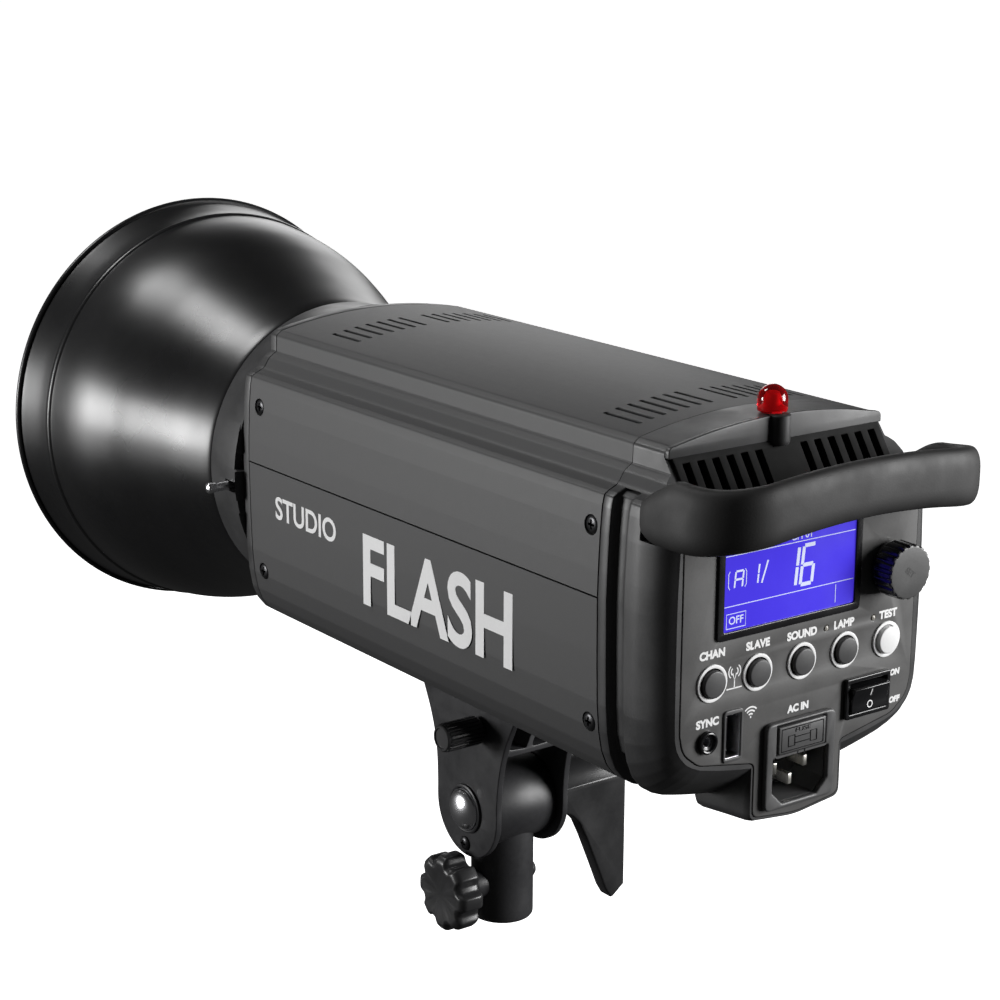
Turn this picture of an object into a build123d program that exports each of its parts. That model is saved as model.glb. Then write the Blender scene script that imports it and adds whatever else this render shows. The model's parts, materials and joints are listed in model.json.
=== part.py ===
from build123d import *
import os
from math import cos, sin, radians

os.makedirs("parts", exist_ok=True)

# Driving dimensions, millimetres. Origin: mouth of the stand socket. +Z up, +Y to the control panel.
PANEL_Y = 170.0      # rear face of the control panel
LINE_Z = 157.0       # height of the row of buttons
AXIS_Z = LINE_Z + 16.0   # optical axis
PITCH = 20.0         # button spacing
PIVOT_Z = 50.0       # tilt pivot above the socket mouth
SOCKET_R = 8.1       # bore for a 16 mm stand stud
SOCKET_DEPTH = 30.0
TUBE_R = 12.8
BARREL_R = 17.0
KNOB_Z = 16.0
UMB_Y, UMB_Z = 9.5, 87.0     # umbrella clamp screw
BODY_FRONT = PANEL_Y - 261.0
BODY_REAR = PANEL_Y - 33.0
DIAL_X, DIAL_Z = -39.2, LINE_Z + 26.8
STEM_Y, DOME_Y = PANEL_Y - 14.5, PANEL_Y - 18.4   # indicator lamp
JACK_X, JACK_Z = 41.5, LINE_Z - 20.2
RIM_Y = PANEL_Y - 414.5
RIM_R = 94.2
COWL_R = 64.0
PIN_Y, PIN_Z = PANEL_Y - 276.0, LINE_Z + 12.0
AXIS = Axis((0, 0, AXIS_Z), (0, 1, 0))
AXIS_X = Axis((0, 0, PIVOT_Z), (1, 0, 0))


def facing_rear(y):
    """Sketch plane across the body at a given Y; local axes are X and Z."""
    return Plane.XZ.offset(-y)


def block(x0, x1, y0, y1, z0, z1, mode=Mode.ADD):
    with Locations(((x0 + x1) / 2, (y0 + y1) / 2, (z0 + z1) / 2)):
        Box(x1 - x0, y1 - y0, z1 - z0, mode=mode)


def rod_x(r, y, z, x0, x1, mode=Mode.ADD):
    with Locations(((x0 + x1) / 2, y, z)):
        Cylinder(r, x1 - x0, rotation=(0, 90, 0), mode=mode)


def rod_y(r, x, z, y0, y1, mode=Mode.ADD):
    with Locations((x, (y0 + y1) / 2, z)):
        Cylinder(r, y1 - y0, rotation=(90, 0, 0), mode=mode)


def rod_z(r, x, y, z0, z1, mode=Mode.ADD):
    with Locations((x, y, (z0 + z1) / 2)):
        Cylinder(r, z1 - z0, mode=mode)


def spin(points, mode=Mode.ADD):
    """Revolve a (Y, radius) outline about the optical axis."""
    with BuildSketch(Plane.YZ) as profile:
        with BuildLine():
            Polyline(*[(y, AXIS_Z + r) for y, r in points], close=True)
        make_face()
    revolve(profile.sketch, axis=AXIS, mode=mode)


def save(part, name):
    part.label = name
    export_step(part, "parts/" + name + ".step")


# Half outlines (x, z above the button row), walked from the seam to the middle.
UPPER = [(62.2, 25.2), (61.8, 38), (61.2, 50), (60.6, 56.5), (59.8, 59.2), (58.2, 60.9), (54.6, 62.6),
         (52.6, 64.6), (51.0, 67.0), (49.4, 68.2), (48.1, 68.8), (48.0, 74.4), (47.3, 76.2), (45.4, 77.3)]
UPPER_IN = [(60.2, 25.2), (59.8, 38), (59.2, 50), (58.7, 55.6), (57.9, 57.7), (56.6, 59.2), (53.4, 60.8),
            (51.2, 62.9), (49.6, 65.2), (47.6, 66.6), (46.0, 67.4), (46.0, 73.6), (45.6, 74.6), (44.6, 75.3)]
LOWER = [(62.2, 24.9), (62.0, 5), (61.6, -12), (60.8, -22), (59.4, -29.5), (57.2, -35.0), (53.6, -39.4),
         (49.0, -42.4), (44.0, -44.4)]
LOWER_IN = [(60.2, 24.9), (60.0, 5), (59.6, -12), (58.8, -21.6), (57.5, -28.6), (55.5, -33.6), (52.2, -37.6),
            (48.0, -40.4), (43.4, -42.2)]
REAR_LOWER = [(55.2, 24.9), (55.2, 5), (55.1, -10), (54.9, -17), (54.0, -20.8), (52.4, -23.6), (49.7, -26.6),
              (46.8, -28.4), (43.6, -29.8)]
PLATE = [(53.1, 51.8), (53.1, -16.8), (52.2, -20.6), (50.5, -23.2), (47.8, -26), (45, -27.6), (42.4, -28.3),
         (19.8, -32.5), (19.8, -50.8), (17.8, -52.9)]
CROWN, CROWN_IN, KEEL, KEEL_IN, REAR_KEEL = 82.4, 80.4, -50.0, -47.9, -35.5


def outline(side, middle):
    """Closed half shell: the side, its mirror image, and an arc through the middle."""
    pts = [(x, z + LINE_Z) for x, z in side]
    left = [(-x, z) for x, z in pts]
    with BuildLine() as wire:
        Polyline(*pts)
        ThreePointArc(pts[-1], (0, middle + LINE_Z), left[-1])
        Polyline(*left)
        Line(left[0], pts[0])
    make_face(wire.edges())


def full(upper, crown, lower, keel, mode=Mode.ADD):
    """Closed whole section of the body."""
    up = [(x, z + LINE_Z) for x, z in upper]
    lo = [(x, z + LINE_Z) for x, z in lower]
    with BuildLine() as wire:
        Polyline(*up)
        ThreePointArc(up[-1], (0, crown + LINE_Z), (-up[-1][0], up[-1][1]))
        Polyline(*[(-x, z) for x, z in up])
        Line((-up[0][0], up[0][1]), (-lo[0][0], lo[0][1]))
        Polyline(*[(-x, z) for x, z in lo])
        ThreePointArc((-lo[-1][0], lo[-1][1]), (0, keel + LINE_Z), lo[-1])
        Polyline(*lo)
        Line(lo[0], up[0])
    make_face(wire.edges(), mode=mode)


def plate(grow):
    """Outline of the control panel, larger by grow on every side."""
    right = [(x + grow, LINE_Z + z + (grow if z > 0 else -grow)) for x, z in PLATE]
    with BuildLine() as wire:
        Polyline(*right, (0, LINE_Z - 54.8 - grow), *[(-x, z) for x, z in right[::-1]], close=True)
    make_face(wire.edges())


def rear_section(side, low):
    """Body outline drawn in towards the panel: side moves the walls, low lifts the bottom."""
    upper = [(x - (7 if z < 62.7 else 5) * side, z) for x, z in UPPER]
    lower = [(a + (c - a) * side, b + (d - b) * low) for (a, b), (c, d) in zip(LOWER, REAR_LOWER)]
    full(upper, CROWN, lower, KEEL + (REAR_KEEL - KEEL) * low)


# ---------------------------------------------------------------- stand bracket
with BuildPart() as stand_bracket:
    rod_z(TUBE_R, 0, 0, 0, 38)
    rod_x(BARREL_R, 0, PIVOT_Z, -14.9, 14.9)
    rod_x(6.5, 0, KNOB_Z, 8, 17)
    rod_z(SOCKET_R, 0, 0, 0, SOCKET_DEPTH, Mode.SUBTRACT)
    rod_x(3.05, 0, KNOB_Z, 0, 18, Mode.SUBTRACT)
    rod_x(1.6, 0, KNOB_Z, -14, 0, Mode.SUBTRACT)
    rod_x(4.05, 0, PIVOT_Z, -15, 15, Mode.SUBTRACT)
save(stand_bracket.part, "stand_bracket")

with BuildPart() as socket_screw:
    with BuildSketch(Plane.XY.offset(KNOB_Z)):
        with BuildLine():
            Polyline((-12.85, 0), (-16.1, 0), (-15.8, 1.4), (-14.9, 2.8), (-13.6, 3.7), (-12.85, 3.9), close=True)
        make_face()
    revolve(axis=Axis((0, 0, KNOB_Z), (1, 0, 0)))
    rod_x(1.55, 0, KNOB_Z, -12.9, -8.6)
save(socket_screw.part, "socket_screw")

with BuildPart() as clamp_pad:
    rod_x(2.95, 0, KNOB_Z, 8.35, 9.6)
save(clamp_pad.part, "clamp_pad")

with BuildPart() as knob_stud:
    rod_x(2.98, 0, KNOB_Z, 9.7, 25.8)
save(knob_stud.part, "knob_stud")

with BuildPart() as stand_knob:
    with BuildSketch(Plane.YZ.offset(20.4)):
        with Locations((0, KNOB_Z)):
            Circle(13.4)
            with PolarLocations(12.6, 8):
                Circle(3.5)
    extrude(amount=11)
    chamfer(stand_knob.edges().group_by(Axis.X)[-1], 1.2)
    rod_x(5.2, 0, KNOB_Z, 18.2, 20.6)
    rod_x(3.0, 0, KNOB_Z, 18, 26, Mode.SUBTRACT)
save(stand_knob.part, "stand_knob")

# ---------------------------------------------------------------- tilting yoke
CHEEK = [(20.45, 52), (21, 66), (24.4, 80), (31.5, 95), (38, 106.5), (-37, 106.5), (-29.6, 95), (-23, 80),
         (-20.2, 66), (-20.45, 52)]
PLATE_HOLES = [(12, -26), (-12, -26), (12, 28), (-12, 28)]
with BuildPart() as tilt_yoke:
    for x in (15.2, -18.0):
        with BuildSketch(Plane.YZ.offset(x)):
            with BuildLine():
                Polyline(*CHEEK, close=True)
            make_face()
            with Locations((0, PIVOT_Z)):
                Circle(20.5)
        extrude(amount=2.8)
    block(-18, 18, -37, 38, 103.9, 106.5)
    rod_x(4.05, 0, PIVOT_Z, -19, 19, Mode.SUBTRACT)
    rod_x(3.05, UMB_Y, UMB_Z, 14, 19, Mode.SUBTRACT)
    rod_x(1.6, -0.5, PIVOT_Z - 15.2, 14, 19, Mode.SUBTRACT)
    for x, y in PLATE_HOLES:
        rod_z(2.05, x, y, 103, 107, Mode.SUBTRACT)
save(tilt_yoke.part, "tilt_yoke")

with BuildPart() as pivot_bolt:
    with BuildSketch(Plane.XY.offset(PIVOT_Z)):
        with BuildLine():
            Polyline((18.05, 0), (23.2, 0), (22.8, 3), (21.6, 5.8), (19.8, 8), (18.9, 8.7), (18.05, 8.8), close=True)
        make_face()
    revolve(axis=AXIS_X)
    rod_x(3.98, 0, PIVOT_Z, -48, 18.1)
save(pivot_bolt.part, "pivot_bolt")

with BuildPart() as cheek_screw:
    rod_x(2.8, -0.5, PIVOT_Z - 15.2, 18.05, 18.9)
    rod_x(1.55, -0.5, PIVOT_Z - 15.2, 15.4, 18.2)
save(cheek_screw.part, "cheek_screw")

with BuildPart() as umbrella_holder:
    with BuildSketch(facing_rear(-24)):
        with BuildLine():
            Polyline((15.1, 103.8), (15.1, 79.5), (13.2, 77.6), (-13.2, 77.6), (-15.1, 79.5), (-15.1, 103.8),
                     close=True)
        make_face()
        with BuildLine():
            Polyline((13.0, 101.4), (13.0, 81.4), (11.4, 79.9), (4.6, 79.9), (-5.0, 101.4), close=True)
        make_face(mode=Mode.SUBTRACT)
        with BuildLine():
            Polyline((1.8, 79.9), (-11.4, 79.9), (-13.0, 81.4), (-13.0, 101.4), (-7.8, 101.4), close=True)
        make_face(mode=Mode.SUBTRACT)
    extrude(amount=-46)
    rod_x(3.05, UMB_Y, UMB_Z, 12, 16, Mode.SUBTRACT)
save(umbrella_holder.part, "umbrella_holder")

with BuildPart() as umbrella_pad:
    rod_x(2.95, UMB_Y, UMB_Z, 13.3, 14.6)
save(umbrella_pad.part, "umbrella_pad")

with BuildPart() as umbrella_screw:
    rod_x(2.98, UMB_Y, UMB_Z, 14.7, 20)
    with BuildSketch(Plane.YZ.offset(19.3)):
        with Locations((UMB_Y, UMB_Z)):
            Circle(5.6)
            with PolarLocations(5.75, 18):
                Rectangle(0.9, 0.7, mode=Mode.SUBTRACT)
    extrude(amount=17)
    rod_x(4.9, UMB_Y, UMB_Z, 36.2, 37)
save(umbrella_screw.part, "umbrella_screw")

with BuildPart() as tilt_lever:
    rod_x(11, 0, PIVOT_Z, -56, -18.5)
    with BuildSketch(facing_rear(4)):
        with BuildLine():
            Polyline((-56, PIVOT_Z), (-56, 1.2), (-49.2, -3.6), (-45.6, 2), (-42.5, 10), (-35.6, 27), (-32.4, 34),
                     (-28.6, 38.6), (-22, 41.5), (-22, PIVOT_Z), close=True)
        make_face()
    extrude(amount=-7)
    rod_x(4.05, 0, PIVOT_Z, -48.4, -18, Mode.SUBTRACT)
save(tilt_lever.part, "tilt_lever")

# ---------------------------------------------------------------- covers
SLOT_X = [5.6 + 5.2 * i for i in range(7)]
SIDE_SCREWS = [(y, z) for y in (PANEL_Y - 253.3, PANEL_Y - 37.8) for z in (LINE_Z + 48.9, LINE_Z - 20.2)]
BOSSES = [(x, y) for x in (-30, 30) for y in (-60, 30, 110)]


def side_holes(r, x0, x1, upper):
    for y, z in SIDE_SCREWS:
        if (z > LINE_Z) == upper:
            for s in (1, -1):
                rod_x(r, y, z, min(s * x0, s * x1), max(s * x0, s * x1), Mode.SUBTRACT)


with BuildPart() as upper_cover:
    with BuildSketch(facing_rear(BODY_FRONT)):
        outline(UPPER, CROWN)
    extrude(amount=-(BODY_REAR - BODY_FRONT))
    with BuildSketch(facing_rear(BODY_FRONT)):
        outline(UPPER_IN, CROWN_IN)
    extrude(amount=-(BODY_REAR - BODY_FRONT), mode=Mode.SUBTRACT)
    with BuildSketch(Plane.XY.offset(LINE_Z + 70)):
        for y in (PANEL_Y - 225.5, PANEL_Y - 52.3):
            with Locations(*[(s * x, y) for x in SLOT_X for s in (1, -1)]):
                SlotOverall(20, 1.3, rotation=90)
    extrude(amount=20, mode=Mode.SUBTRACT)
    side_holes(3.5, 57, 64, True)
save(upper_cover.part, "upper_cover")

with BuildPart() as lower_tray:
    with BuildSketch(facing_rear(BODY_FRONT)):
        outline(LOWER, KEEL)
    extrude(amount=-(BODY_REAR - BODY_FRONT))
    with BuildSketch(facing_rear(BODY_FRONT)):
        outline(LOWER_IN, KEEL_IN)
    extrude(amount=-(BODY_REAR - BODY_FRONT), mode=Mode.SUBTRACT)
    for x, y in BOSSES:
        rod_z(4, x, y, LINE_Z - 46.5, LINE_Z - 40)
    for x, y in PLATE_HOLES:
        rod_z(2.05, x, y, 105, 112, Mode.SUBTRACT)
    side_holes(3.5, 57, 64, False)
save(lower_tray.part, "lower_tray")

with BuildPart() as body_screws:
    for y, z in SIDE_SCREWS:
        for s in (1, -1):
            with Locations((s * 60.3, y, z)):
                Cone(1.7, 3.3, 1.8, rotation=(0, 90 * s, 0))
            rod_x(1.7, y, z, min(s * 55.4, s * 59.6), max(s * 55.4, s * 59.6))
save(body_screws.part, "body_screws")

with BuildPart() as yoke_screws:
    for x, y in PLATE_HOLES:
        rod_z(3.4, x, y, 110.4, 112.6)
        rod_z(2.0, x, y, 104, 110.5)
save(yoke_screws.part, "yoke_screws")

# ---------------------------------------------------------------- front
with BuildPart() as front_frame:
    with BuildSketch(facing_rear(BODY_FRONT - 5)):
        full(UPPER, CROWN, LOWER, KEEL)
        with Locations((0, AXIS_Z)):
            Circle(48, mode=Mode.SUBTRACT)
    extrude(amount=-4.8)
    for s in (1, -1):
        for z in (LINE_Z + 48.9, LINE_Z - 20.2):
            block(min(s * 50, s * 57.4), max(s * 50, s * 57.4), BODY_FRONT - 1, BODY_FRONT + 15, z - 4.5, z + 4.5)
            rod_x(1.75, PANEL_Y - 253.3, z, min(s * 50, s * 60), max(s * 50, s * 60), Mode.SUBTRACT)
save(front_frame.part, "front_frame")

VENT_ANGLES = [a for a in range(12, 360, 24) if not 335 < a < 360]
with BuildPart() as front_ring:
    spin([(BODY_FRONT - 5.2, COWL_R - 3), (BODY_FRONT - 5.2, COWL_R), (PANEL_Y - 289.5, COWL_R),
          (PANEL_Y - 291, COWL_R - 1.5), (PANEL_Y - 291, COWL_R - 3)])
    for a in VENT_ANGLES:
        with Locations(Plane((0, PANEL_Y - 272, AXIS_Z), x_dir=(0, 1, 0), z_dir=(cos(radians(a)), 0, sin(radians(a))))):
            with Locations((0, 0, COWL_R - 1)):
                Box(4.4, 17.5, 10, mode=Mode.SUBTRACT)
    block(50, 70, PIN_Y - 2.4, PIN_Y + 6.4, PIN_Z - 2.4, PIN_Z + 2.4, Mode.SUBTRACT)
save(front_ring.part, "front_ring")

with BuildPart() as bayonet_ring:
    spin([(PANEL_Y - 291, 48.6), (PANEL_Y - 291, 60.7), (PANEL_Y - 279.5, 60.7), (PANEL_Y - 279.5, 48.6),
          (PANEL_Y - 281.5, 48.6), (PANEL_Y - 281.5, 51.6), (PANEL_Y - 287, 51.6), (PANEL_Y - 287, 48.6)])
    with BuildSketch(facing_rear(PANEL_Y - 292)):
        for a in (90, 210, 330):
            with Locations(Location((49.5 * cos(radians(a)), AXIS_Z + 49.5 * sin(radians(a))), a)):
                Rectangle(4.2, 19)
    extrude(amount=-5.5, mode=Mode.SUBTRACT)
    for a in (45, 135, 225, 315):
        rod_y(3, 56 * cos(radians(a)), AXIS_Z + 56 * sin(radians(a)), PANEL_Y - 280, BODY_FRONT - 5.1)
save(bayonet_ring.part, "bayonet_ring")

with BuildPart() as release_pin:
    rod_x(2.0, PIN_Y, PIN_Z, 55, 72.4)
    with Locations((72.4, PIN_Y, PIN_Z)):
        Sphere(2.0)
save(release_pin.part, "release_pin")

with BuildPart() as reflector:
    R = [(RIM_Y, RIM_R - 0.3), (PANEL_Y - 409.5, 92.9), (PANEL_Y - 400, 90.9), (PANEL_Y - 393.5, 90.0),
         (PANEL_Y - 391.5, 90.4), (PANEL_Y - 389.5, 89.7), (PANEL_Y - 376, 87.9), (PANEL_Y - 364, 85.4),
         (PANEL_Y - 352, 81.6), (PANEL_Y - 340, 77.1), (PANEL_Y - 328, 72.8), (PANEL_Y - 316, 68.8),
         (PANEL_Y - 304, 65.4), (PANEL_Y - 296, 63.4), (PANEL_Y - 292.6, 61.8), (PANEL_Y - 291.6, 59.5)]
    inner = [(y, r - 1.25) for y, r in R[:-2]] + [(PANEL_Y - 293.6, 60.9), (PANEL_Y - 292.8, 59.2)]
    spin(R + [(PANEL_Y - 291.6, 46.6), (PANEL_Y - 292.8, 46.6)] + inner[::-1])
    spin([(PANEL_Y - 292.8, 46.6), (PANEL_Y - 292.8, 48.2), (PANEL_Y - 282.2, 48.2), (PANEL_Y - 282.2, 46.6)])
    with BuildSketch(facing_rear(PANEL_Y - 286.4)):
        for a in (60, 180, 300):
            with Locations(Location((49.3 * cos(radians(a)), AXIS_Z + 49.3 * sin(radians(a))), a)):
                Rectangle(3.2, 16)
        with Locations((0, AXIS_Z)):
            Circle(46.9, mode=Mode.SUBTRACT)
    extrude(amount=-3.6)
    with BuildSketch(Plane.YZ):
        with Locations((RIM_Y, AXIS_Z + RIM_R - 0.8)):
            Circle(1.9)
    revolve(axis=AXIS)
save(reflector.part, "reflector")

# ---------------------------------------------------------------- flash head behind the reflector
with BuildPart() as tube_base:
    spin([(PANEL_Y - 290, 0), (PANEL_Y - 290, 44), (PANEL_Y - 284, 44), (PANEL_Y - 284, 0)])
    rod_y(13.3, 0, AXIS_Z, PANEL_Y - 291, PANEL_Y - 283, Mode.SUBTRACT)
    for x in (-26, 26):
        rod_y(2.05, x, AXIS_Z - 22, PANEL_Y - 291, PANEL_Y - 283, Mode.SUBTRACT)
save(tube_base.part, "tube_base")

with BuildPart() as flash_tube:
    with BuildSketch(Plane.YZ):
        with Locations((PANEL_Y - 304, AXIS_Z + 33)):
            Circle(4)
    revolve(axis=AXIS, revolution_arc=300)
    for x in (-26, 26):
        rod_y(2.0, x, AXIS_Z - 22, PANEL_Y - 304, PANEL_Y - 280)
save(flash_tube.part, "flash_tube")

with BuildPart() as lamp_socket:
    rod_y(13, 0, AXIS_Z, PANEL_Y - 294, PANEL_Y - 262)
    rod_y(9.1, 0, AXIS_Z, PANEL_Y - 295, PANEL_Y - 270, Mode.SUBTRACT)
save(lamp_socket.part, "lamp_socket")

with BuildPart() as modelling_lamp:
    rod_y(9, 0, AXIS_Z, PANEL_Y - 300, PANEL_Y - 271)
    rod_y(11.5, 0, AXIS_Z, PANEL_Y - 338, PANEL_Y - 300)
    with Locations((0, PANEL_Y - 338, AXIS_Z)):
        Sphere(11.5)
save(modelling_lamp.part, "modelling_lamp")

with BuildPart() as heat_shield:
    with BuildSketch(facing_rear(BODY_FRONT + 18)):
        with Locations((0, AXIS_Z)):
            RectangleRounded(104, 96, 8)
            with PolarLocations(36, 12):
                Circle(4, mode=Mode.SUBTRACT)
            Circle(13.4, mode=Mode.SUBTRACT)
    extrude(amount=-1.2)
save(heat_shield.part, "heat_shield")

# ---------------------------------------------------------------- inside the body
with BuildPart() as chassis:
    block(-42, 42, -70, 122, LINE_Z - 36, LINE_Z - 34.5)
    for x, y in BOSSES:
        rod_z(4, x, y, LINE_Z - 39.95, LINE_Z - 35)
save(chassis.part, "chassis")

with BuildPart() as capacitors:
    with Locations(*[(x, y, LINE_Z + 5.6) for x in (-24, 16) for y in (-45, -5)]):
        Cylinder(18, 80)
save(capacitors.part, "capacitors")

with BuildPart() as transformer:
    block(-34, 6, 28, 66, LINE_Z - 34.4, LINE_Z + 6)
    block(-28, 0, 22, 72, LINE_Z - 24, LINE_Z - 2)
save(transformer.part, "transformer")

with BuildPart() as main_board:
    block(46, 47.6, -66, 84, LINE_Z - 33, LINE_Z + 55)
    block(37, 46.1, 20, 60, LINE_Z - 20, LINE_Z + 20)
    with Locations(*[(40.2, -58 + 16 * i, LINE_Z - 28) for i in range(4)]):
        Cylinder(3.4, 11.8, rotation=(0, 90, 0))
save(main_board.part, "main_board")

with BuildPart() as fan_frame:
    with BuildSketch(facing_rear(88)):
        with Locations((0, LINE_Z + 8)):
            RectangleRounded(60, 60, 4)
            Circle(28.4, mode=Mode.SUBTRACT)
    extrude(amount=-15)
    block(-29, 29, 100.5, 103, LINE_Z + 5.5, LINE_Z + 10.5)
    rod_y(13, 0, LINE_Z + 8, 100.5, 103)
    block(-28, 28, 89, 102, LINE_Z - 34.4, LINE_Z - 21.9)
    rod_y(2.05, 0, LINE_Z + 8, 100, 104, Mode.SUBTRACT)
save(fan_frame.part, "fan_frame")

with BuildPart() as fan_rotor:
    rod_y(12.4, 0, LINE_Z + 8, 89.5, 100)
    rod_y(2.0, 0, LINE_Z + 8, 99, 102.8)
    for i in range(7):
        with BuildSketch(Plane((0, 94.7, LINE_Z + 8), x_dir=(0, 1, 0),
                               z_dir=(cos(radians(360 / 7 * i)), 0, sin(radians(360 / 7 * i)))).offset(12)):
            Rectangle(1.2, 13, rotation=50)
        extrude(amount=15.4)
save(fan_rotor.part, "fan_rotor")

# ---------------------------------------------------------------- rear housing
STEPS = [(-18.5, 0, 0), (-12.5, 0, 0.22), (-6, 0.22, 0.55), (-2.5, 0.55, 0.8), (-0.3, 1, 1)]
with BuildPart() as rear_housing:
    with BuildSketch(facing_rear(BODY_REAR + 0.3)):
        full(UPPER, CROWN, LOWER, KEEL)
    extrude(amount=-4.9)
    with BuildSketch(facing_rear(BODY_REAR + 5)):
        full([(x - 3.2 if z < 62 else x, z) for x, z in UPPER], CROWN, [(x - 3.2, z) for x, z in LOWER], KEEL + 1.5)
    extrude(amount=-9)
    with BuildSketch(facing_rear(PANEL_Y - 20.5)):
        full(UPPER, CROWN, LOWER, KEEL)
    extrude(amount=-2)
    for pair in zip(STEPS, STEPS[1:]):
        for y, side, low in pair:
            with BuildSketch(facing_rear(PANEL_Y + y)):
                rear_section(side, low)
        loft()
    for y, w, low, middle in ((-23.4, 24.6, -55.4, -56.6), (-0.3, 21.4, -54.4, -56.4)):
        with BuildSketch(facing_rear(PANEL_Y + y)):
            with BuildLine():
                Polyline((w, LINE_Z - 30), (w, LINE_Z + low + 2.4), (w - 2.3, LINE_Z + low), (0, LINE_Z + middle),
                         (2.3 - w, LINE_Z + low), (-w, LINE_Z + low + 2.4), (-w, LINE_Z - 30), close=True)
            make_face()
    loft()
    with BuildSketch(Plane.YZ.offset(-70)):
        with BuildLine():
            Polyline((PANEL_Y - 16.7, LINE_Z + 90), (PANEL_Y - 16.7, LINE_Z + 74), (PANEL_Y - 1, LINE_Z + 52.8),
                     (PANEL_Y + 5, LINE_Z + 52.8), (PANEL_Y + 5, LINE_Z + 90), close=True)
        make_face()
    extrude(amount=140, mode=Mode.SUBTRACT)
    with BuildSketch(facing_rear(BODY_REAR)):
        plate(0.2)
    extrude(amount=-45, mode=Mode.SUBTRACT)
    block(-44.8, 44.8, BODY_REAR - 1, PANEL_Y + 1, LINE_Z + 51, LINE_Z + 75.8, Mode.SUBTRACT)
    for x in (53.3, -80):
        with BuildSketch(Plane.YZ.offset(x)):
            with BuildLine():
                Polyline((PANEL_Y - 12.7, LINE_Z + 55.2), (PANEL_Y + 1, LINE_Z + 48.3), (PANEL_Y + 5, LINE_Z + 48.3),
                         (PANEL_Y + 5, LINE_Z + 78), (PANEL_Y - 12.7, LINE_Z + 78), close=True)
            make_face()
        extrude(amount=26.7, mode=Mode.SUBTRACT)
    for s in (1, -1):
        for z in (LINE_Z + 48.9, LINE_Z - 20.2):
            block(min(s * 53.5, s * 57.4), max(s * 53.5, s * 57.4), BODY_REAR - 11, BODY_REAR + 4, z - 4.5, z + 4.5)
            rod_x(1.75, PANEL_Y - 37.8, z, min(s * 50, s * 60), max(s * 50, s * 60), Mode.SUBTRACT)
        rod_x(1.55, PANEL_Y - 10, LINE_Z + 57, min(s * 44, s * 56), max(s * 44, s * 56), Mode.SUBTRACT)
    rod_z(3.65, 0, STEM_Y, LINE_Z + 72, LINE_Z + 90, Mode.SUBTRACT)
save(rear_housing.part, "rear_housing")

with BuildPart() as rear_grille:
    with BuildSketch(Plane.YZ.offset(-44.6)):
        with BuildLine():
            Polyline((PANEL_Y - 18.5, LINE_Z + 75.6), (PANEL_Y - 16.8, LINE_Z + 75.6), (PANEL_Y - 16.2, LINE_Z + 73.2),
                     (PANEL_Y - 1.4, LINE_Z + 53.3), (PANEL_Y - 3.6, LINE_Z + 53.3), (PANEL_Y - 18.5, LINE_Z + 73.2),
                     close=True)
        make_face()
    extrude(amount=89.2)
    for s in (1, -1):
        for i in range(6):
            x = s * (10.2 + 6.3 * i)
            block(x - 1.6, x + 1.6, PANEL_Y - 19, PANEL_Y, LINE_Z + 57, LINE_Z + 71, Mode.SUBTRACT)
    rod_z(3.65, 0, STEM_Y, LINE_Z + 72, LINE_Z + 80, Mode.SUBTRACT)
save(rear_grille.part, "rear_grille")

with BuildPart() as lamp_stem:
    rod_z(3.6, 0, STEM_Y, LINE_Z + 72.3, LINE_Z + 82.8)
save(lamp_stem.part, "lamp_stem")

with BuildPart() as lamp_dome:
    rod_z(5.2, 0, DOME_Y, LINE_Z + 82.9, LINE_Z + 87)
    with Locations((0, DOME_Y, LINE_Z + 87)):
        Sphere(5.2, arc_size1=0)
save(lamp_dome.part, "lamp_dome")

# ---------------------------------------------------------------- handle
with BuildPart() as handle:
    with BuildSketch(Plane.YZ.offset(-66)):
        with BuildLine():
            Polyline((PANEL_Y - 12.4, LINE_Z + 55.6), (PANEL_Y + 2, LINE_Z + 48.6), (PANEL_Y + 31, LINE_Z + 54.4),
                     (PANEL_Y + 31, LINE_Z + 73.6), (PANEL_Y + 26, LINE_Z + 75.4), (PANEL_Y + 2, LINE_Z + 72.5),
                     (PANEL_Y - 10, LINE_Z + 65.4), (PANEL_Y - 12.4, LINE_Z + 62), close=True)
        make_face()
    extrude(amount=132)
    with BuildSketch(Plane.XY.offset(LINE_Z + 40)):
        with Locations((0, PANEL_Y - 4)):
            RectangleRounded(125.4, 70, 23)
    extrude(amount=50, mode=Mode.INTERSECT)
    with BuildSketch(Plane.XY.offset(LINE_Z + 40)):
        with Locations((0, PANEL_Y - 12)):
            RectangleRounded(107.4, 70, 16)
    extrude(amount=50, mode=Mode.SUBTRACT)
    for s in (1, -1):
        rod_x(1.7, PANEL_Y - 10, LINE_Z + 57, min(s * 50, s * 60.3), max(s * 50, s * 60.3), Mode.SUBTRACT)
save(handle.part, "handle")

with BuildPart() as handle_screws:
    for s in (1, -1):
        rod_x(2.8, PANEL_Y - 10, LINE_Z + 57, min(s * 43.2, s * 44.7), max(s * 43.2, s * 44.7))
        rod_x(1.5, PANEL_Y - 10, LINE_Z + 57, min(s * 44.5, s * 60), max(s * 44.5, s * 60))
save(handle_screws.part, "handle_screws")

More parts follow.
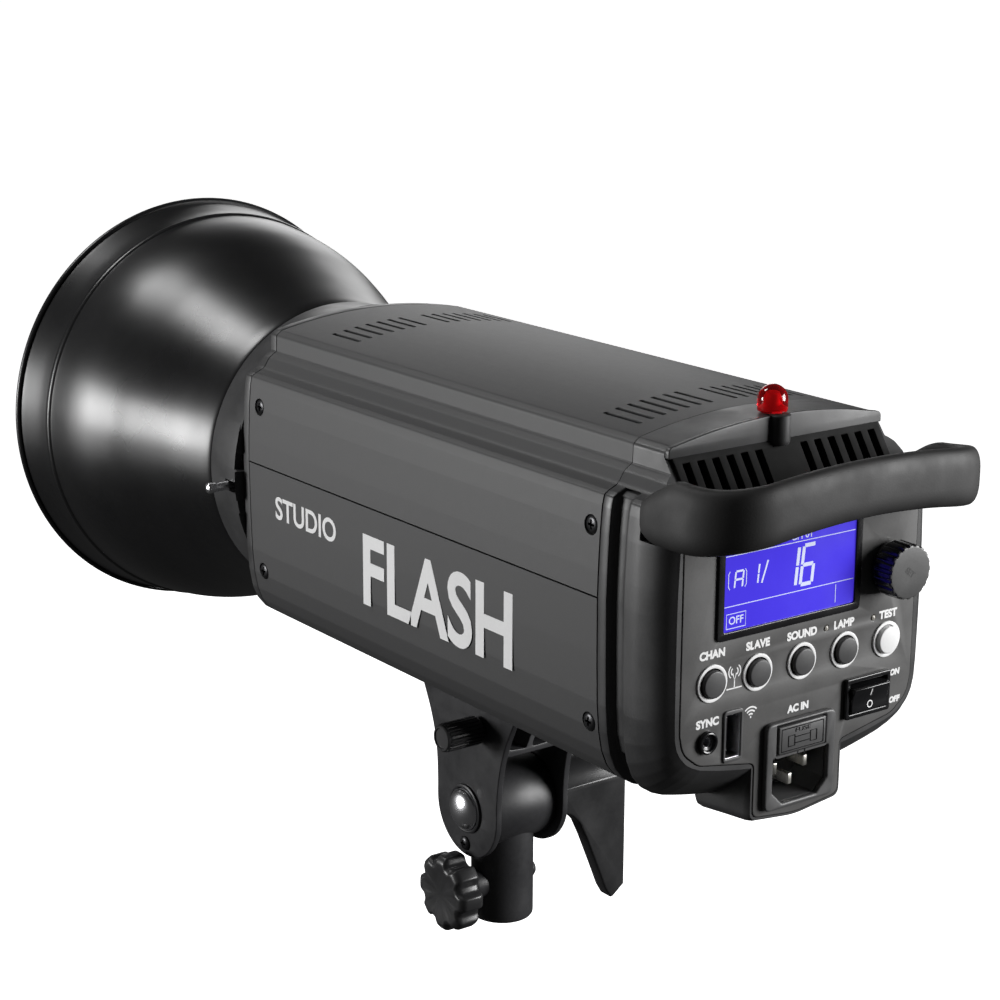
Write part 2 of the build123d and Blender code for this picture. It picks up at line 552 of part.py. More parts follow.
# ---------------------------------------------------------------- control panel
BUTTON_X = [PITCH * i for i in (2, 1, 0, -1, -2)]
IN_X = 0.3           # mains inlet
ROCK_X, ROCK_Z = -31.3, LINE_Z - 18.4
with BuildPart() as control_panel:
    with BuildSketch(facing_rear(PANEL_Y - 2)):
        plate(0)
        with Locations(*[(x, LINE_Z) for x in BUTTON_X]):
            Circle(5.2, mode=Mode.SUBTRACT)
        with Locations((DIAL_X, DIAL_Z)):
            Circle(3.5, mode=Mode.SUBTRACT)
        with Locations((JACK_X, JACK_Z)):
            Circle(3.05, mode=Mode.SUBTRACT)
        with Locations((6.5, LINE_Z + 31.6)):
            Rectangle(61, 32, mode=Mode.SUBTRACT)
        with Locations((30.1, LINE_Z - 20.3)):
            Rectangle(7.4, 16.4, mode=Mode.SUBTRACT)
        with Locations((IN_X, LINE_Z - 35.3)):
            Rectangle(27.4, 30.4, mode=Mode.SUBTRACT)
        with Locations((ROCK_X, ROCK_Z)):
            Rectangle(19.0, 12.6, mode=Mode.SUBTRACT)
        with Locations((-11.2, LINE_Z + 9.3), (-33.5, LINE_Z + 8.9)):
            Circle(1.05, mode=Mode.SUBTRACT)
    extrude(amount=-2)
save(control_panel.part, "control_panel")

with BuildPart() as lcd_bezel:
    with BuildSketch(facing_rear(PANEL_Y + 0.05)):
        with Locations((6.5, LINE_Z + 31.6)):
            RectangleRounded(64.6, 35.6, 1.5)
            Rectangle(60.6, 31.6, mode=Mode.SUBTRACT)
    extrude(amount=-0.9)
save(lcd_bezel.part, "lcd_bezel")

with BuildPart() as lcd_window:
    block(-23.7, 36.7, PANEL_Y - 1.2, PANEL_Y + 0.4, LINE_Z + 15.9, LINE_Z + 47.3)
save(lcd_window.part, "lcd_window")

with BuildPart() as lcd_module:
    block(-26, 39, PANEL_Y - 8, PANEL_Y - 2.1, LINE_Z + 13.5, LINE_Z + 49.5)
    block(-23.5, 36.5, PANEL_Y - 2.2, PANEL_Y - 1.3, LINE_Z + 16.1, LINE_Z + 47.1)
save(lcd_module.part, "lcd_module")

with BuildPart() as button_rings:
    with BuildSketch(facing_rear(PANEL_Y + 0.05)):
        with Locations(*[(x, LINE_Z) for x in BUTTON_X]):
            Circle(6.5)
            Circle(5.2, mode=Mode.SUBTRACT)
    extrude(amount=-1.1)
save(button_rings.part, "button_rings")

BUTTONS = ["button_model", "button_mode", "button_sound", "button_slave", "button_test"]
for name, x in zip(BUTTONS, BUTTON_X):
    with BuildPart() as button:
        rod_y(4.75, x, LINE_Z, PANEL_Y - 3.2, PANEL_Y + 2.4)
        rod_y(6.2, x, LINE_Z, PANEL_Y - 4.4, PANEL_Y - 2.4)
        rod_y(1.6, x, LINE_Z, PANEL_Y - 6.4, PANEL_Y - 4.3)
        chamfer(button.edges().group_by(Axis.Y)[-1], 0.5)
    save(button.part, name)

with BuildPart() as control_board:
    with BuildSketch(facing_rear(PANEL_Y - 11.2)):
        with Locations((0, LINE_Z + 19)):
            Rectangle(104, 54)
        with Locations((DIAL_X, DIAL_Z)):
            Circle(3.6, mode=Mode.SUBTRACT)
    extrude(amount=-1.6)
    for x in BUTTON_X:
        block(x - 3, x + 3, PANEL_Y - 9.7, PANEL_Y - 8, LINE_Z - 3, LINE_Z + 3)
save(control_board.part, "control_board")

with BuildPart() as indicator_leds:
    for x, z in ((-11.2, 9.3), (-33.5, 8.9)):
        rod_y(1.0, x, LINE_Z + z, PANEL_Y - 9.5, PANEL_Y + 0.3)
save(indicator_leds.part, "indicator_leds")

with BuildPart() as set_shaft:
    rod_y(3.0, DIAL_X, DIAL_Z, PANEL_Y - 9, PANEL_Y + 9.9)
save(set_shaft.part, "set_shaft")

with BuildPart() as set_dial:
    with BuildSketch(facing_rear(PANEL_Y + 1.0)):
        with Locations((DIAL_X, DIAL_Z)):
            Circle(9.2)
    extrude(amount=-2)
    with BuildSketch(facing_rear(PANEL_Y + 2.6)):
        with Locations((DIAL_X, DIAL_Z)):
            Circle(10)
            with PolarLocations(10.3, 20):
                Circle(0.9, mode=Mode.SUBTRACT)
    extrude(amount=-8.4)
    rod_y(3.05, DIAL_X, DIAL_Z, PANEL_Y, PANEL_Y + 10, Mode.SUBTRACT)
save(set_dial.part, "set_dial")

with BuildPart() as sync_jack:
    rod_y(4.1, JACK_X, JACK_Z, PANEL_Y + 0.05, PANEL_Y + 1.6)
    rod_y(3.0, JACK_X, JACK_Z, PANEL_Y - 17, PANEL_Y + 0.1)
    rod_y(1.75, JACK_X, JACK_Z, PANEL_Y - 15, PANEL_Y + 2, Mode.SUBTRACT)
save(sync_jack.part, "sync_jack")

with BuildPart() as usb_shell:
    with BuildSketch(facing_rear(PANEL_Y - 14)):
        with Locations((30.1, LINE_Z - 20.3)):
            Rectangle(7.2, 16.2)
    extrude(amount=-14.6)
    block(27.2, 33.0, PANEL_Y - 12, PANEL_Y + 2, LINE_Z - 27.7, LINE_Z - 12.9, Mode.SUBTRACT)
    block(30.4, 32.0, PANEL_Y - 12.5, PANEL_Y - 2.0, LINE_Z - 26.6, LINE_Z - 14)
save(usb_shell.part, "usb_shell")

PINS = [(-7, -38.4), (7, -38.4), (0, -43.6)]
FUSE_Z = [LINE_Z - 28.7, LINE_Z - 23.5]
with BuildPart() as inlet_housing:
    with BuildSketch(facing_rear(PANEL_Y + 0.05)):
        with Locations((IN_X, LINE_Z - 35.25)):
            RectangleRounded(32, 31.5, 3)
    extrude(amount=-2.15)
    chamfer(inlet_housing.edges().group_by(Axis.Y)[-1], 0.8)
    block(IN_X - 13.6, IN_X + 13.6, PANEL_Y - 26, PANEL_Y + 0.1, LINE_Z - 50.2, LINE_Z - 20.4)
    with BuildSketch(facing_rear(PANEL_Y - 14)):
        with BuildLine():
            Polyline((IN_X + 12.6, LINE_Z - 32.2), (IN_X + 12.6, LINE_Z - 44.4), (IN_X + 7.9, LINE_Z - 49.1),
                     (IN_X - 7.9, LINE_Z - 49.1), (IN_X - 12.6, LINE_Z - 44.4), (IN_X - 12.6, LINE_Z - 32.2),
                     close=True)
        make_face()
    extrude(amount=-20, mode=Mode.SUBTRACT)
    block(IN_X - 11.2, IN_X + 11.2, PANEL_Y - 25, PANEL_Y + 5, LINE_Z - 31.4, LINE_Z - 20.8, Mode.SUBTRACT)
    for x, z in PINS:
        block(IN_X + x - 1.05, IN_X + x + 1.05, PANEL_Y - 30, PANEL_Y, LINE_Z + z - 2.05, LINE_Z + z + 2.05,
              Mode.SUBTRACT)
save(inlet_housing.part, "inlet_housing")

with BuildPart() as inlet_pins:
    for x, z in PINS:
        block(IN_X + x - 1, IN_X + x + 1, PANEL_Y - 30, PANEL_Y - 3, LINE_Z + z - 2, LINE_Z + z + 2)
save(inlet_pins.part, "inlet_pins")

with BuildPart() as fuse_drawer:
    block(IN_X - 10.8, IN_X + 10.8, PANEL_Y - 22, PANEL_Y + 2.6, LINE_Z - 31.0, LINE_Z - 21.2)
    for z in FUSE_Z:
        block(IN_X - 10.0, IN_X + 10.0, PANEL_Y - 20, PANEL_Y - 1, z - 1.85, z + 1.85, Mode.SUBTRACT)
save(fuse_drawer.part, "fuse_drawer")

with BuildPart() as fuses:
    for z in FUSE_Z:
        with Locations((IN_X, PANEL_Y - 10, z)):
            Cylinder(1.8, 19.9, rotation=(0, 90, 0))
save(fuses.part, "fuses")

with BuildPart() as rocker_bezel:
    with BuildSketch(facing_rear(PANEL_Y + 0.05)):
        with Locations((ROCK_X, ROCK_Z)):
            RectangleRounded(21.2, 14.8, 1)
            Rectangle(17.8, 11.2, mode=Mode.SUBTRACT)
    extrude(amount=-1.6)
    with BuildSketch(facing_rear(PANEL_Y - 13)):
        with Locations((ROCK_X, ROCK_Z)):
            Rectangle(18.8, 12.4)
    extrude(amount=-13.1)
    block(ROCK_X - 8.9, ROCK_X + 8.9, PANEL_Y - 11, PANEL_Y + 3, ROCK_Z - 5.6, ROCK_Z + 5.6, Mode.SUBTRACT)
    rod_x(1.05, PANEL_Y - 2, ROCK_Z, ROCK_X - 9.25, ROCK_X + 9.25, Mode.SUBTRACT)
save(rocker_bezel.part, "rocker_bezel")

with BuildPart() as power_rocker:
    with BuildSketch(Plane((ROCK_X - 8.6, PANEL_Y - 2, ROCK_Z), x_dir=(0, sin(radians(8)), cos(radians(8))),
                           z_dir=(1, 0, 0))):
        with BuildLine():
            Polyline((-4.6, -5.2), (0, -4.3), (4.6, -5.2), (4.6, -0.6), (2.4, 4.5), (-2.4, 4.5), (-4.6, -0.6),
                     close=True)
        make_face()
    extrude(amount=17.2)
    rod_x(1.0, PANEL_Y - 2, ROCK_Z, ROCK_X - 9.1, ROCK_X + 9.1)
save(power_rocker.part, "power_rocker")
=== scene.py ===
import bpy, bmesh, json
from math import atan2, copysign, cos, hypot, pi, radians, sin, tan
from mathutils import Vector, Matrix


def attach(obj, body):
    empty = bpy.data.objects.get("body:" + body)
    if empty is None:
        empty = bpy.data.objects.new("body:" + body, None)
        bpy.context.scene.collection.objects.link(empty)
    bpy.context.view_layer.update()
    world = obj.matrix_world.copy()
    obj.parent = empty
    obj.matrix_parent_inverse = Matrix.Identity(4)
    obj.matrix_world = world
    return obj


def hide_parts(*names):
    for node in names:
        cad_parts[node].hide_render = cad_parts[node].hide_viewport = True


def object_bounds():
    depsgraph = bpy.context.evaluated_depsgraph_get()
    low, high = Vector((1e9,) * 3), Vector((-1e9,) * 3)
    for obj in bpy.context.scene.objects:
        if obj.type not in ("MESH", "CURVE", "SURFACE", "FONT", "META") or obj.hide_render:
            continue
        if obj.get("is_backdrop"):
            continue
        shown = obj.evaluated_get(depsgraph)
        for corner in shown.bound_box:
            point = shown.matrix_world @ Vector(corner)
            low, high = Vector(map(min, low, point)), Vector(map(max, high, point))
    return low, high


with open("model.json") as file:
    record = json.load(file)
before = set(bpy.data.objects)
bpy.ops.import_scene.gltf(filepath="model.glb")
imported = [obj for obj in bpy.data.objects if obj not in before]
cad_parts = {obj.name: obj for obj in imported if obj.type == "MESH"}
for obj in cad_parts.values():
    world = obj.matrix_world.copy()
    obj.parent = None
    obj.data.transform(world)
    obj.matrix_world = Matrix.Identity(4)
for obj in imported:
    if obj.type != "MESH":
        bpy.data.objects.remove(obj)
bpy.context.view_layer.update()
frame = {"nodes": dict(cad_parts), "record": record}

# Sizes below are in millimetres of the shared frame; MM turns them into metres.
P = 170.0            # control panel face
L = 157.0            # row of buttons
A = L + 16.0         # optical axis
MM = 0.001

# ---- camera
az, el, roll = radians(144.12), radians(15.15), radians(0.16)
back = Vector((sin(az) * cos(el), -cos(az) * cos(el), sin(el)))
right = (-back).cross(Vector((0, 0, 1))).normalized()
up = right.cross(-back)
right, up = (right * cos(roll) + up * sin(roll), up * cos(roll) - right * sin(roll))
eye = (0.5151, 0.7020, 0.4091)
cam = bpy.data.objects.new("camera", bpy.data.cameras.new("camera"))
bpy.context.scene.collection.objects.link(cam)
cam.matrix_world = Matrix([(right[i], up[i], back[i], eye[i]) for i in range(3)] + [(0, 0, 0, 1)])
cam.data.sensor_width = 36.0
cam.data.lens = 82.49
cam.data.shift_x, cam.data.shift_y = 0.0113, 0.0062
cam.data.clip_start, cam.data.clip_end = 0.01, 100
bpy.context.scene.camera = cam
bpy.context.scene.view_settings.view_transform = "Standard"


# ---- materials
M = {}


def material(name, color, rough=0.5, metallic=0.0, mottle=0.12, mottle_scale=60.0, grain=900.0, bump=0.1,
             bump_depth=0.0002, rough_var=0.08, **sockets):
    """Adds a procedural material to M: colour mottling, roughness variation and grain bump."""
    m = bpy.data.materials.new(name)
    m.use_nodes = True
    nt = m.node_tree
    n = nt.nodes
    bsdf = n["Principled BSDF"]
    co = n.new("ShaderNodeTexCoord")

    def noise(scale, detail=3.0, rough_=0.55):
        t = n.new("ShaderNodeTexNoise")
        t.inputs["Scale"].default_value = scale
        t.inputs["Detail"].default_value = detail
        t.inputs["Roughness"].default_value = rough_
        nt.links.new(co.outputs["Object"], t.inputs["Vector"])
        return t.outputs["Fac"]

    def ramp(src, lo, hi):
        r = n.new("ShaderNodeMapRange")
        r.inputs["From Min"].default_value, r.inputs["From Max"].default_value = 0.3, 0.7
        r.inputs["To Min"].default_value, r.inputs["To Max"].default_value = lo, hi
        nt.links.new(src, r.inputs["Value"])
        return r.outputs["Result"]

    def half(src, plus=None):
        t = n.new("ShaderNodeMath")
        t.operation = "MULTIPLY_ADD"
        t.inputs[1].default_value, t.inputs[2].default_value = 0.5, 0.0
        nt.links.new(src, t.inputs[0])
        if plus is not None:
            nt.links.new(plus, t.inputs[2])
        return t.outputs[0]

    broad, fine = noise(mottle_scale), noise(grain * 0.6, 2.0)
    mix = n.new("ShaderNodeMix")
    mix.data_type = "RGBA"
    mix.inputs["A"].default_value = tuple(c * (1 - mottle) for c in color[:3]) + (1,)
    mix.inputs["B"].default_value = tuple(min(1, c * (1 + mottle)) for c in color[:3]) + (1,)
    nt.links.new(ramp(half(fine, half(broad)), 0, 1), mix.inputs["Factor"])
    nt.links.new(mix.outputs["Result"], bsdf.inputs["Base Color"])
    nt.links.new(ramp(broad, max(0.02, rough - rough_var), min(1, rough + rough_var)),
                 bsdf.inputs["Roughness"])
    bsdf.inputs["Metallic"].default_value = metallic
    for k, v in sockets.items():
        bsdf.inputs[k.replace("_", " ")].default_value = v
    if bump > 0:
        b = n.new("ShaderNodeBump")
        b.inputs["Strength"].default_value = bump
        b.inputs["Distance"].default_value = bump_depth
        nt.links.new(noise(grain, 4.0, 0.6), b.inputs["Height"])
        nt.links.new(b.outputs["Normal"], bsdf.inputs["Normal"])
    M[name] = m
    return m


material("charcoal_powder_coat", (0.054, 0.054, 0.055), 0.52, grain=1500, bump=0.22,
         mottle=0.02, mottle_scale=300, bump_depth=0.00015, rough_var=0.012)
material("housing_black", (0.042, 0.042, 0.043), 0.44, grain=1300, bump=0.12)
material("panel_black", (0.095, 0.094, 0.093), 0.42, grain=1600, bump=0.08, mottle=0.08)
material("reflector_black", (0.010, 0.010, 0.0105), 0.30, grain=700, bump=0.01, mottle=0.2,
         mottle_scale=20, rough_var=0.04)
material("handle_rubber", (0.018, 0.0175, 0.0175), 0.62, grain=1500, bump=0.16, mottle=0.12)
material("bracket_black", (0.030, 0.030, 0.032), 0.40, grain=900, bump=0.10, mottle=0.18)
material("knob_black", (0.022, 0.022, 0.023), 0.38, grain=1100, bump=0.07)
material("chrome", (0.88, 0.88, 0.90), 0.24, 1.0, mottle=0.03, bump=0.02, rough_var=0.03)
material("steel", (0.66, 0.66, 0.68), 0.32, 1.0, mottle=0.08, bump=0.04)
material("screw_black", (0.035, 0.035, 0.037), 0.30, 0.7, mottle=0.2, bump=0.05)
material("button_grey", (0.055, 0.055, 0.056), 0.45, grain=1600, bump=0.08)
material("button_white", (0.93, 0.93, 0.93), 0.42, mottle=0.03, grain=1600, bump=0.05)
material("dial_grey", (0.070, 0.070, 0.070), 0.42, grain=1500, bump=0.10)
material("lcd_black", (0.010, 0.010, 0.011), 0.22, mottle=0.2, bump=0.03, rough_var=0.05)
material("led_clear", (0.42, 0.40, 0.36), 0.25, mottle=0.1, bump=0.02)
material("ceramic", (0.72, 0.70, 0.66), 0.7, mottle=0.06, grain=700, bump=0.15)
material("capacitor_can", (0.05, 0.07, 0.16), 0.35, mottle=0.1, bump=0.03)
material("iron_core", (0.10, 0.085, 0.075), 0.55, 0.4, mottle=0.2, bump=0.2, grain=500)
material("board_green", (0.015, 0.11, 0.045), 0.32, mottle=0.25, mottle_scale=400, bump=0.1)
material("sheet_metal", (0.60, 0.60, 0.61), 0.35, 1.0, mottle=0.06, bump=0.05, grain=500)
material("brass_contacts", (0.82, 0.80, 0.74), 0.3, 1.0, mottle=0.06, bump=0.03)
material("flash_glass", (0.9, 0.88, 0.84), 0.25, mottle=0.04, bump=0.04, Transmission_Weight=0.6)
material("bulb_glass", (0.92, 0.90, 0.86), 0.45, mottle=0.03, bump=0.03, Transmission_Weight=0.35)
material("lcd_blue", (0.035, 0.025, 0.42), 0.16, mottle=0.06, mottle_scale=25, bump=0.0,
         Emission_Color=(0.055, 0.032, 0.62, 1), Emission_Strength=0.75)
material("red_lens", (0.60, 0.006, 0.010), 0.05, mottle=0.10, mottle_scale=200, bump=0.02,
         Transmission_Weight=0.8, IOR=1.5)
material("reflector_silver", (0.62, 0.62, 0.63), 0.38, 1.0, mottle=0.05, bump=0.25, grain=420,
         bump_depth=0.0004)
material("band_black", (0.032, 0.032, 0.033), 0.42, grain=1300, bump=0.1)
material("grille_black", (0.009, 0.009, 0.009), 0.75, grain=1300, bump=0.1,
         Specular_IOR_Level=0.2)
material("inlet_grey", (0.085, 0.085, 0.086), 0.40, grain=1300, bump=0.08)
material("lamp_core", (0.9, 0.35, 0.3), 0.3, mottle=0.05, bump=0.02)
material("print_white", (0.93, 0.93, 0.93), 0.5, mottle=0.03, grain=1500, bump=0.04)
material("print_dark", (0.03, 0.03, 0.03), 0.5, mottle=0.05, grain=1500, bump=0.04)
material("lcd_light", (0.62, 0.66, 0.86), 0.4, mottle=0.03, bump=0.0, Emission_Color=(0.6, 0.65, 0.85, 1),
         Emission_Strength=0.25)
for name, o in frame["nodes"].items():
    slot = next(s["material_slot"] for s in frame["record"]["subparts"] if s["node"] == name)
    for s in o.material_slots:
        s.material = M[slot]

# ---- helpers: all lengths in millimetres
def link(name, me):
    o = bpy.data.objects.new(name, me)
    bpy.context.scene.collection.objects.link(o)
    return o


def clean(me):
    """Welds points that coincide and turns every face outward."""
    bm = bmesh.new()
    bm.from_mesh(me)
    bmesh.ops.remove_doubles(bm, verts=bm.verts, dist=1e-7)
    bmesh.ops.recalc_face_normals(bm, faces=bm.faces)
    bm.to_mesh(me)
    bm.free()


def build(name, verts, faces, sharp=32.0, bevel=0.0):
    """Mesh from millimetre points, with its normals outward and its hard edges kept hard."""
    me = bpy.data.meshes.new(name)
    me.from_pydata([Vector(v) * MM for v in verts], [], faces)
    clean(me)
    o = link(name, me)
    if bevel:
        m = o.modifiers.new("edge", "BEVEL")
        m.width, m.segments, m.limit_method, m.angle_limit = bevel * MM, 3, "ANGLE", radians(40)
        bake(o)
    smooth(o, sharp)
    return o


def smooth(o, sharp=32.0):
    o.data.shade_smooth()
    o.data.set_sharp_from_angle(angle=radians(sharp))


def bake(o):
    """Applies the object's modifiers."""
    me = bpy.data.meshes.new_from_object(o.evaluated_get(bpy.context.evaluated_depsgraph_get()))
    o.modifiers.clear()
    o.data = me


def cut(o, tools, operation="DIFFERENCE", sharp=32.0):
    """Boolean with throwaway tool objects."""
    for t in tools:
        m = o.modifiers.new("cut", "BOOLEAN")
        m.operation, m.solver, m.object = operation, "EXACT", t
    bake(o)
    for t in tools:
        bpy.data.objects.remove(t)
    smooth(o, sharp)
    return o


def piece(o, body, slot, *nodes, look=None):
    """Gives a finished mesh its material and the body it rides on, and hides the CAD nodes that it stands
    for.
    """
    o.data.materials.clear()
    o.data.materials.append(M[look or slot])
    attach(o, body)
    if nodes:
        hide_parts(*nodes)
    return o


def merge(name, parts):
    """Joins meshes into one object."""
    bm = bmesh.new()
    for p in parts:
        p.data.transform(p.matrix_world)
        bm.from_mesh(p.data)
        bpy.data.objects.remove(p)
    me = bpy.data.meshes.new(name)
    bm.to_mesh(me)
    bm.free()
    return link(name, me)


FACE = ((1, 0, 0), (0, 0, 1), (0, 1, 0))       # sketch in world X and Z, facing the rear
SIDE = ((0, 1, 0), (0, 0, 1), (1, 0, 0))       # sketch in world Y and Z, facing +X
FRAMES = {"x": SIDE, "-x": ((0, -1, 0), (0, 0, 1), (-1, 0, 0)),
          "y": ((-1, 0, 0), (0, 0, 1), (0, 1, 0)), "z": ((1, 0, 0), (0, 1, 0), (0, 0, 1))}
OUTWARD = {1: "x", -1: "-x"}                   # the frame that faces away from the case on each side


def basis(axis):
    return [Vector(d) for d in (FRAMES[axis] if isinstance(axis, str) else axis)]


def lathe(name, centre, axis, profile, segments=96, wave=None, sharp=32.0, closed=False):
    """Revolves (along, radius) points; wave(angle, along) scales the radius. The ends are capped or meet."""
    u, v, w = basis(axis)
    c = Vector(centre)
    verts, rings = [], []
    for a, r in profile:
        if r < 1e-6:
            rings.append([len(verts)] * segments)
            verts.append(c + w * a)
            continue
        rings.append(list(range(len(verts), len(verts) + segments)))
        for i in range(segments):
            t = 2 * pi * i / segments
            k = r * (wave(t, a) if wave else 1)
            verts.append(c + w * a + u * (k * cos(t)) + v * (k * sin(t)))
    pairs = list(zip(rings, rings[1:])) + ([(rings[-1], rings[0])] if closed else [])
    faces = []
    for p, q in pairs:
        for i in range(segments):
            j = (i + 1) % segments
            f = []
            for k in (p[i], p[j], q[j], q[i]):
                if k not in f:
                    f.append(k)
            if len(f) > 2:
                faces.append(f)
    if not closed:
        for r in (rings[0], rings[-1]):
            if len(set(r)) > 1:
                faces.append(list(r))
    return build(name, verts, faces, sharp)


def loft(name, rings, sharp=32.0):
    """Skins rings of equal point counts and caps both ends."""
    n = len(rings[0])
    verts = [p for r in rings for p in r]
    faces = []
    for k in range(len(rings) - 1):
        a, b = k * n, (k + 1) * n
        faces += [(a + i, a + (i + 1) % n, b + (i + 1) % n, b + i) for i in range(n)]
    faces += [list(range(n)), list(range(len(verts) - n, len(verts)))]
    return build(name, verts, faces, sharp)


def rounded(points, steps=6, closed=True):
    """Rounds each (x, y, radius) corner of an outline with an arc of that radius."""
    out, n = [], len(points)
    for i, (x, y, r) in enumerate(points):
        p = Vector((x, y))
        if not r or (not closed and i in (0, n - 1)):
            out.append((x, y))
            continue
        a, b = Vector(points[i - 1][:2]) - p, Vector(points[(i + 1) % n][:2]) - p
        half = a.angle(b) / 2
        t = min(r / tan(half), a.length * 0.49, b.length * 0.49)
        s, e = p + a.normalized() * t, p + b.normalized() * t
        for k in range(steps + 1):
            f = k / steps
            q = s * (1 - f) ** 2 + p * 2 * f * (1 - f) + e * f ** 2
            out.append((q.x, q.y))
    return out


def circle(x, y, r, n=48):
    return [(x + r * cos(2 * pi * i / n), y + r * sin(2 * pi * i / n)) for i in range(n)]


def box2(x0, x1, y0, y1, r=0.0, steps=6):
    return rounded([(x0, y0, r), (x1, y0, r), (x1, y1, r), (x0, y1, r)], steps)


def slab(name, outer, holes, origin, axis, thick, bevel=0.0, sharp=32.0):
    """Flat plate with holes and rounded edges. Its face is at origin and it goes back by thick."""
    cu = bpy.data.curves.new(name, "CURVE")
    cu.dimensions, cu.fill_mode = "2D", "BOTH"
    for pts in [outer] + holes:
        sp = cu.splines.new("POLY")
        sp.points.add(len(pts) - 1)
        for q, (x, y) in zip(sp.points, pts):
            q.co = (x * MM, y * MM, 0, 1)
        sp.use_cyclic_u = True
    cu.extrude = (thick / 2 - bevel) * MM
    cu.bevel_depth, cu.bevel_resolution, cu.offset = bevel * MM, 3, -bevel * MM
    t = link(name + "_outline", cu)
    me = bpy.data.meshes.new_from_object(t.evaluated_get(bpy.context.evaluated_depsgraph_get()))
    bpy.data.objects.remove(t)
    place(me, origin, axis, -thick / 2)
    clean(me)
    o = link(name, me)
    smooth(o, sharp)
    return o


def place(me, origin, axis, lift=0.0):
    u, v, w = basis(axis)
    c = (Vector(origin) + w * lift) * MM
    me.transform(Matrix(((u.x, v.x, w.x, c.x), (u.y, v.y, w.y, c.y), (u.z, v.z, w.z, c.z), (0, 0, 0, 1))))


def words(name, text, size, origin, axis, raise_=0.08, stretch=1.0, bold=0.0, body="head",
          slot="button_white", look=None, shear=0.0):
    """Printed lettering as a thin raised mesh. size is the height of a capital."""
    cu = bpy.data.curves.new(name, "FONT")
    cu.body, cu.size, cu.align_x, cu.align_y = text, size * MM / 0.70, "CENTER", "CENTER"
    cu.extrude, cu.offset, cu.shear, cu.resolution_u = raise_ / 2 * MM, bold * MM, shear, 6
    t = link(name + "_text", cu)
    me = bpy.data.meshes.new_from_object(t.evaluated_get(bpy.context.evaluated_depsgraph_get()))
    bpy.data.objects.remove(t)
    me.transform(Matrix.Diagonal((stretch, 1, 1, 1)))
    place(me, origin, axis, raise_ / 2 + 0.01)
    return piece(link(name, me), body, slot, look=look)


def strokes(name, lines, width, origin, axis, raise_=0.08, body="head", slot="button_white", look=None):
    """Printed line work: each line is a list of points on the face, drawn as a thin raised band."""
    verts, faces = [], []
    for line in lines:
        pts = [Vector(p) for p in line]
        k0 = len(verts)
        for i, p in enumerate(pts):
            a, b = pts[max(i - 1, 0)], pts[min(i + 1, len(pts) - 1)]
            n = (b - a).normalized()
            n = Vector((-n.y, n.x)) * width / 2
            for q, h in ((p + n, 0), (p + n, raise_), (p - n, raise_), (p - n, 0)):
                verts.append((q.x, q.y, h))
        for i in range(len(pts) - 1):
            for j in range(4):
                a, b = k0 + i * 4 + j, k0 + i * 4 + (j + 1) % 4
                faces.append((a, b, b + 4, a + 4))
        faces += [(k0, k0 + 1, k0 + 2, k0 + 3), tuple(k0 + 4 * (len(pts) - 1) + j for j in range(4))]
    o = build(name, verts, faces)
    place(o.data, origin, axis, 0.01)
    return piece(o, body, slot, look=look)


def rect_line(x0, x1, y0, y1):
    return [(x0, y0), (x0, y1), (x1, y1), (x1, y0), (x0, y0)]


def ring_line(x, y, r, a0=0, a1=360, n=40):
    return [(x + r * cos(radians(a0 + (a1 - a0) * i / n)),
             y + r * sin(radians(a0 + (a1 - a0) * i / n))) for i in range(n + 1)]


def block(name, x0, x1, y0, y1, z0, z1, bevel=0.0):
    v = [(x, y, z) for x in (x0, x1) for y in (y0, y1) for z in (z0, z1)]
    return build(name, v, [(0, 1, 3, 2), (4, 6, 7, 5), (0, 4, 5, 1), (2, 3, 7, 6), (0, 2, 6, 4),
                           (1, 5, 7, 3)],
                 bevel=bevel)


def prism(name, outline, axis, a0, a1):
    """Plain prism along a world axis: outline is (x, z) for 'y', (y, z) for 'x' and (x, y) for 'z'."""
    k = "xyz".index(axis)
    return loft(name, [[(*p[:k], a, *p[k:]) for p in outline] for a in (a0, a1)])


def screw(name, centre, axis, r, profile, size=0.62):
    """Screw head with a cross recess, turned from its (along, radius) profile."""
    o = lathe(name, centre, axis, profile, 40)
    u, v, w = basis(axis)
    tools = []
    for d in (u, v):
        e = w.cross(d)
        tools.append(build("recess", [Vector(centre) + w * h + d * a * r * size * s + e * b * r * 0.16 * s
                                      for h, s in ((-1.6, 0.45), (4, 1.35)) for a, b in
                                      ((-1, -1), (1, -1), (1, 1), (-1, 1))],
                           [(0, 1, 2, 3), (4, 5, 6, 7), (0, 1, 5, 4), (1, 2, 6, 5), (2, 3, 7, 6),
                            (3, 0, 4, 7)]))
    return cut(o, tools)


def dome_profile(base, r, height, edge=0.5, crown=0.4, steps=6):
    """Cap profile: straight side, rounded edge and a slightly crowned top."""
    side = [(base, r), (base + height - crown - edge, r)]
    arc = [(base + height - crown - edge + edge * sin(t), r - edge + edge * cos(t))
           for t in (pi / 2 * i / steps for i in range(1, steps + 1))]
    top = [(base + height - crown * (k / steps) ** 2, (r - edge) * k / steps)
           for k in range(steps - 1, -1, -1)]
    return side + arc + top

# ---- reflector
def flow(points, steps=5):
    """Smooth curve through outline points (Catmull-Rom)."""
    out = []
    for i in range(len(points) - 1):
        p = [Vector(points[max(0, min(len(points) - 1, j))]) for j in (i - 1, i, i + 1, i + 2)]
        for k in range(steps):
            t = k / steps
            q = 0.5 * (2 * p[1] + (p[2] - p[0]) * t + (2 * p[0] - 5 * p[1] + 4 * p[2] - p[3]) * t * t
                       + (3 * p[1] - p[0] - 3 * p[2] + p[3]) * t ** 3)
            out.append((q.x, q.y))
    return out + [points[-1]]


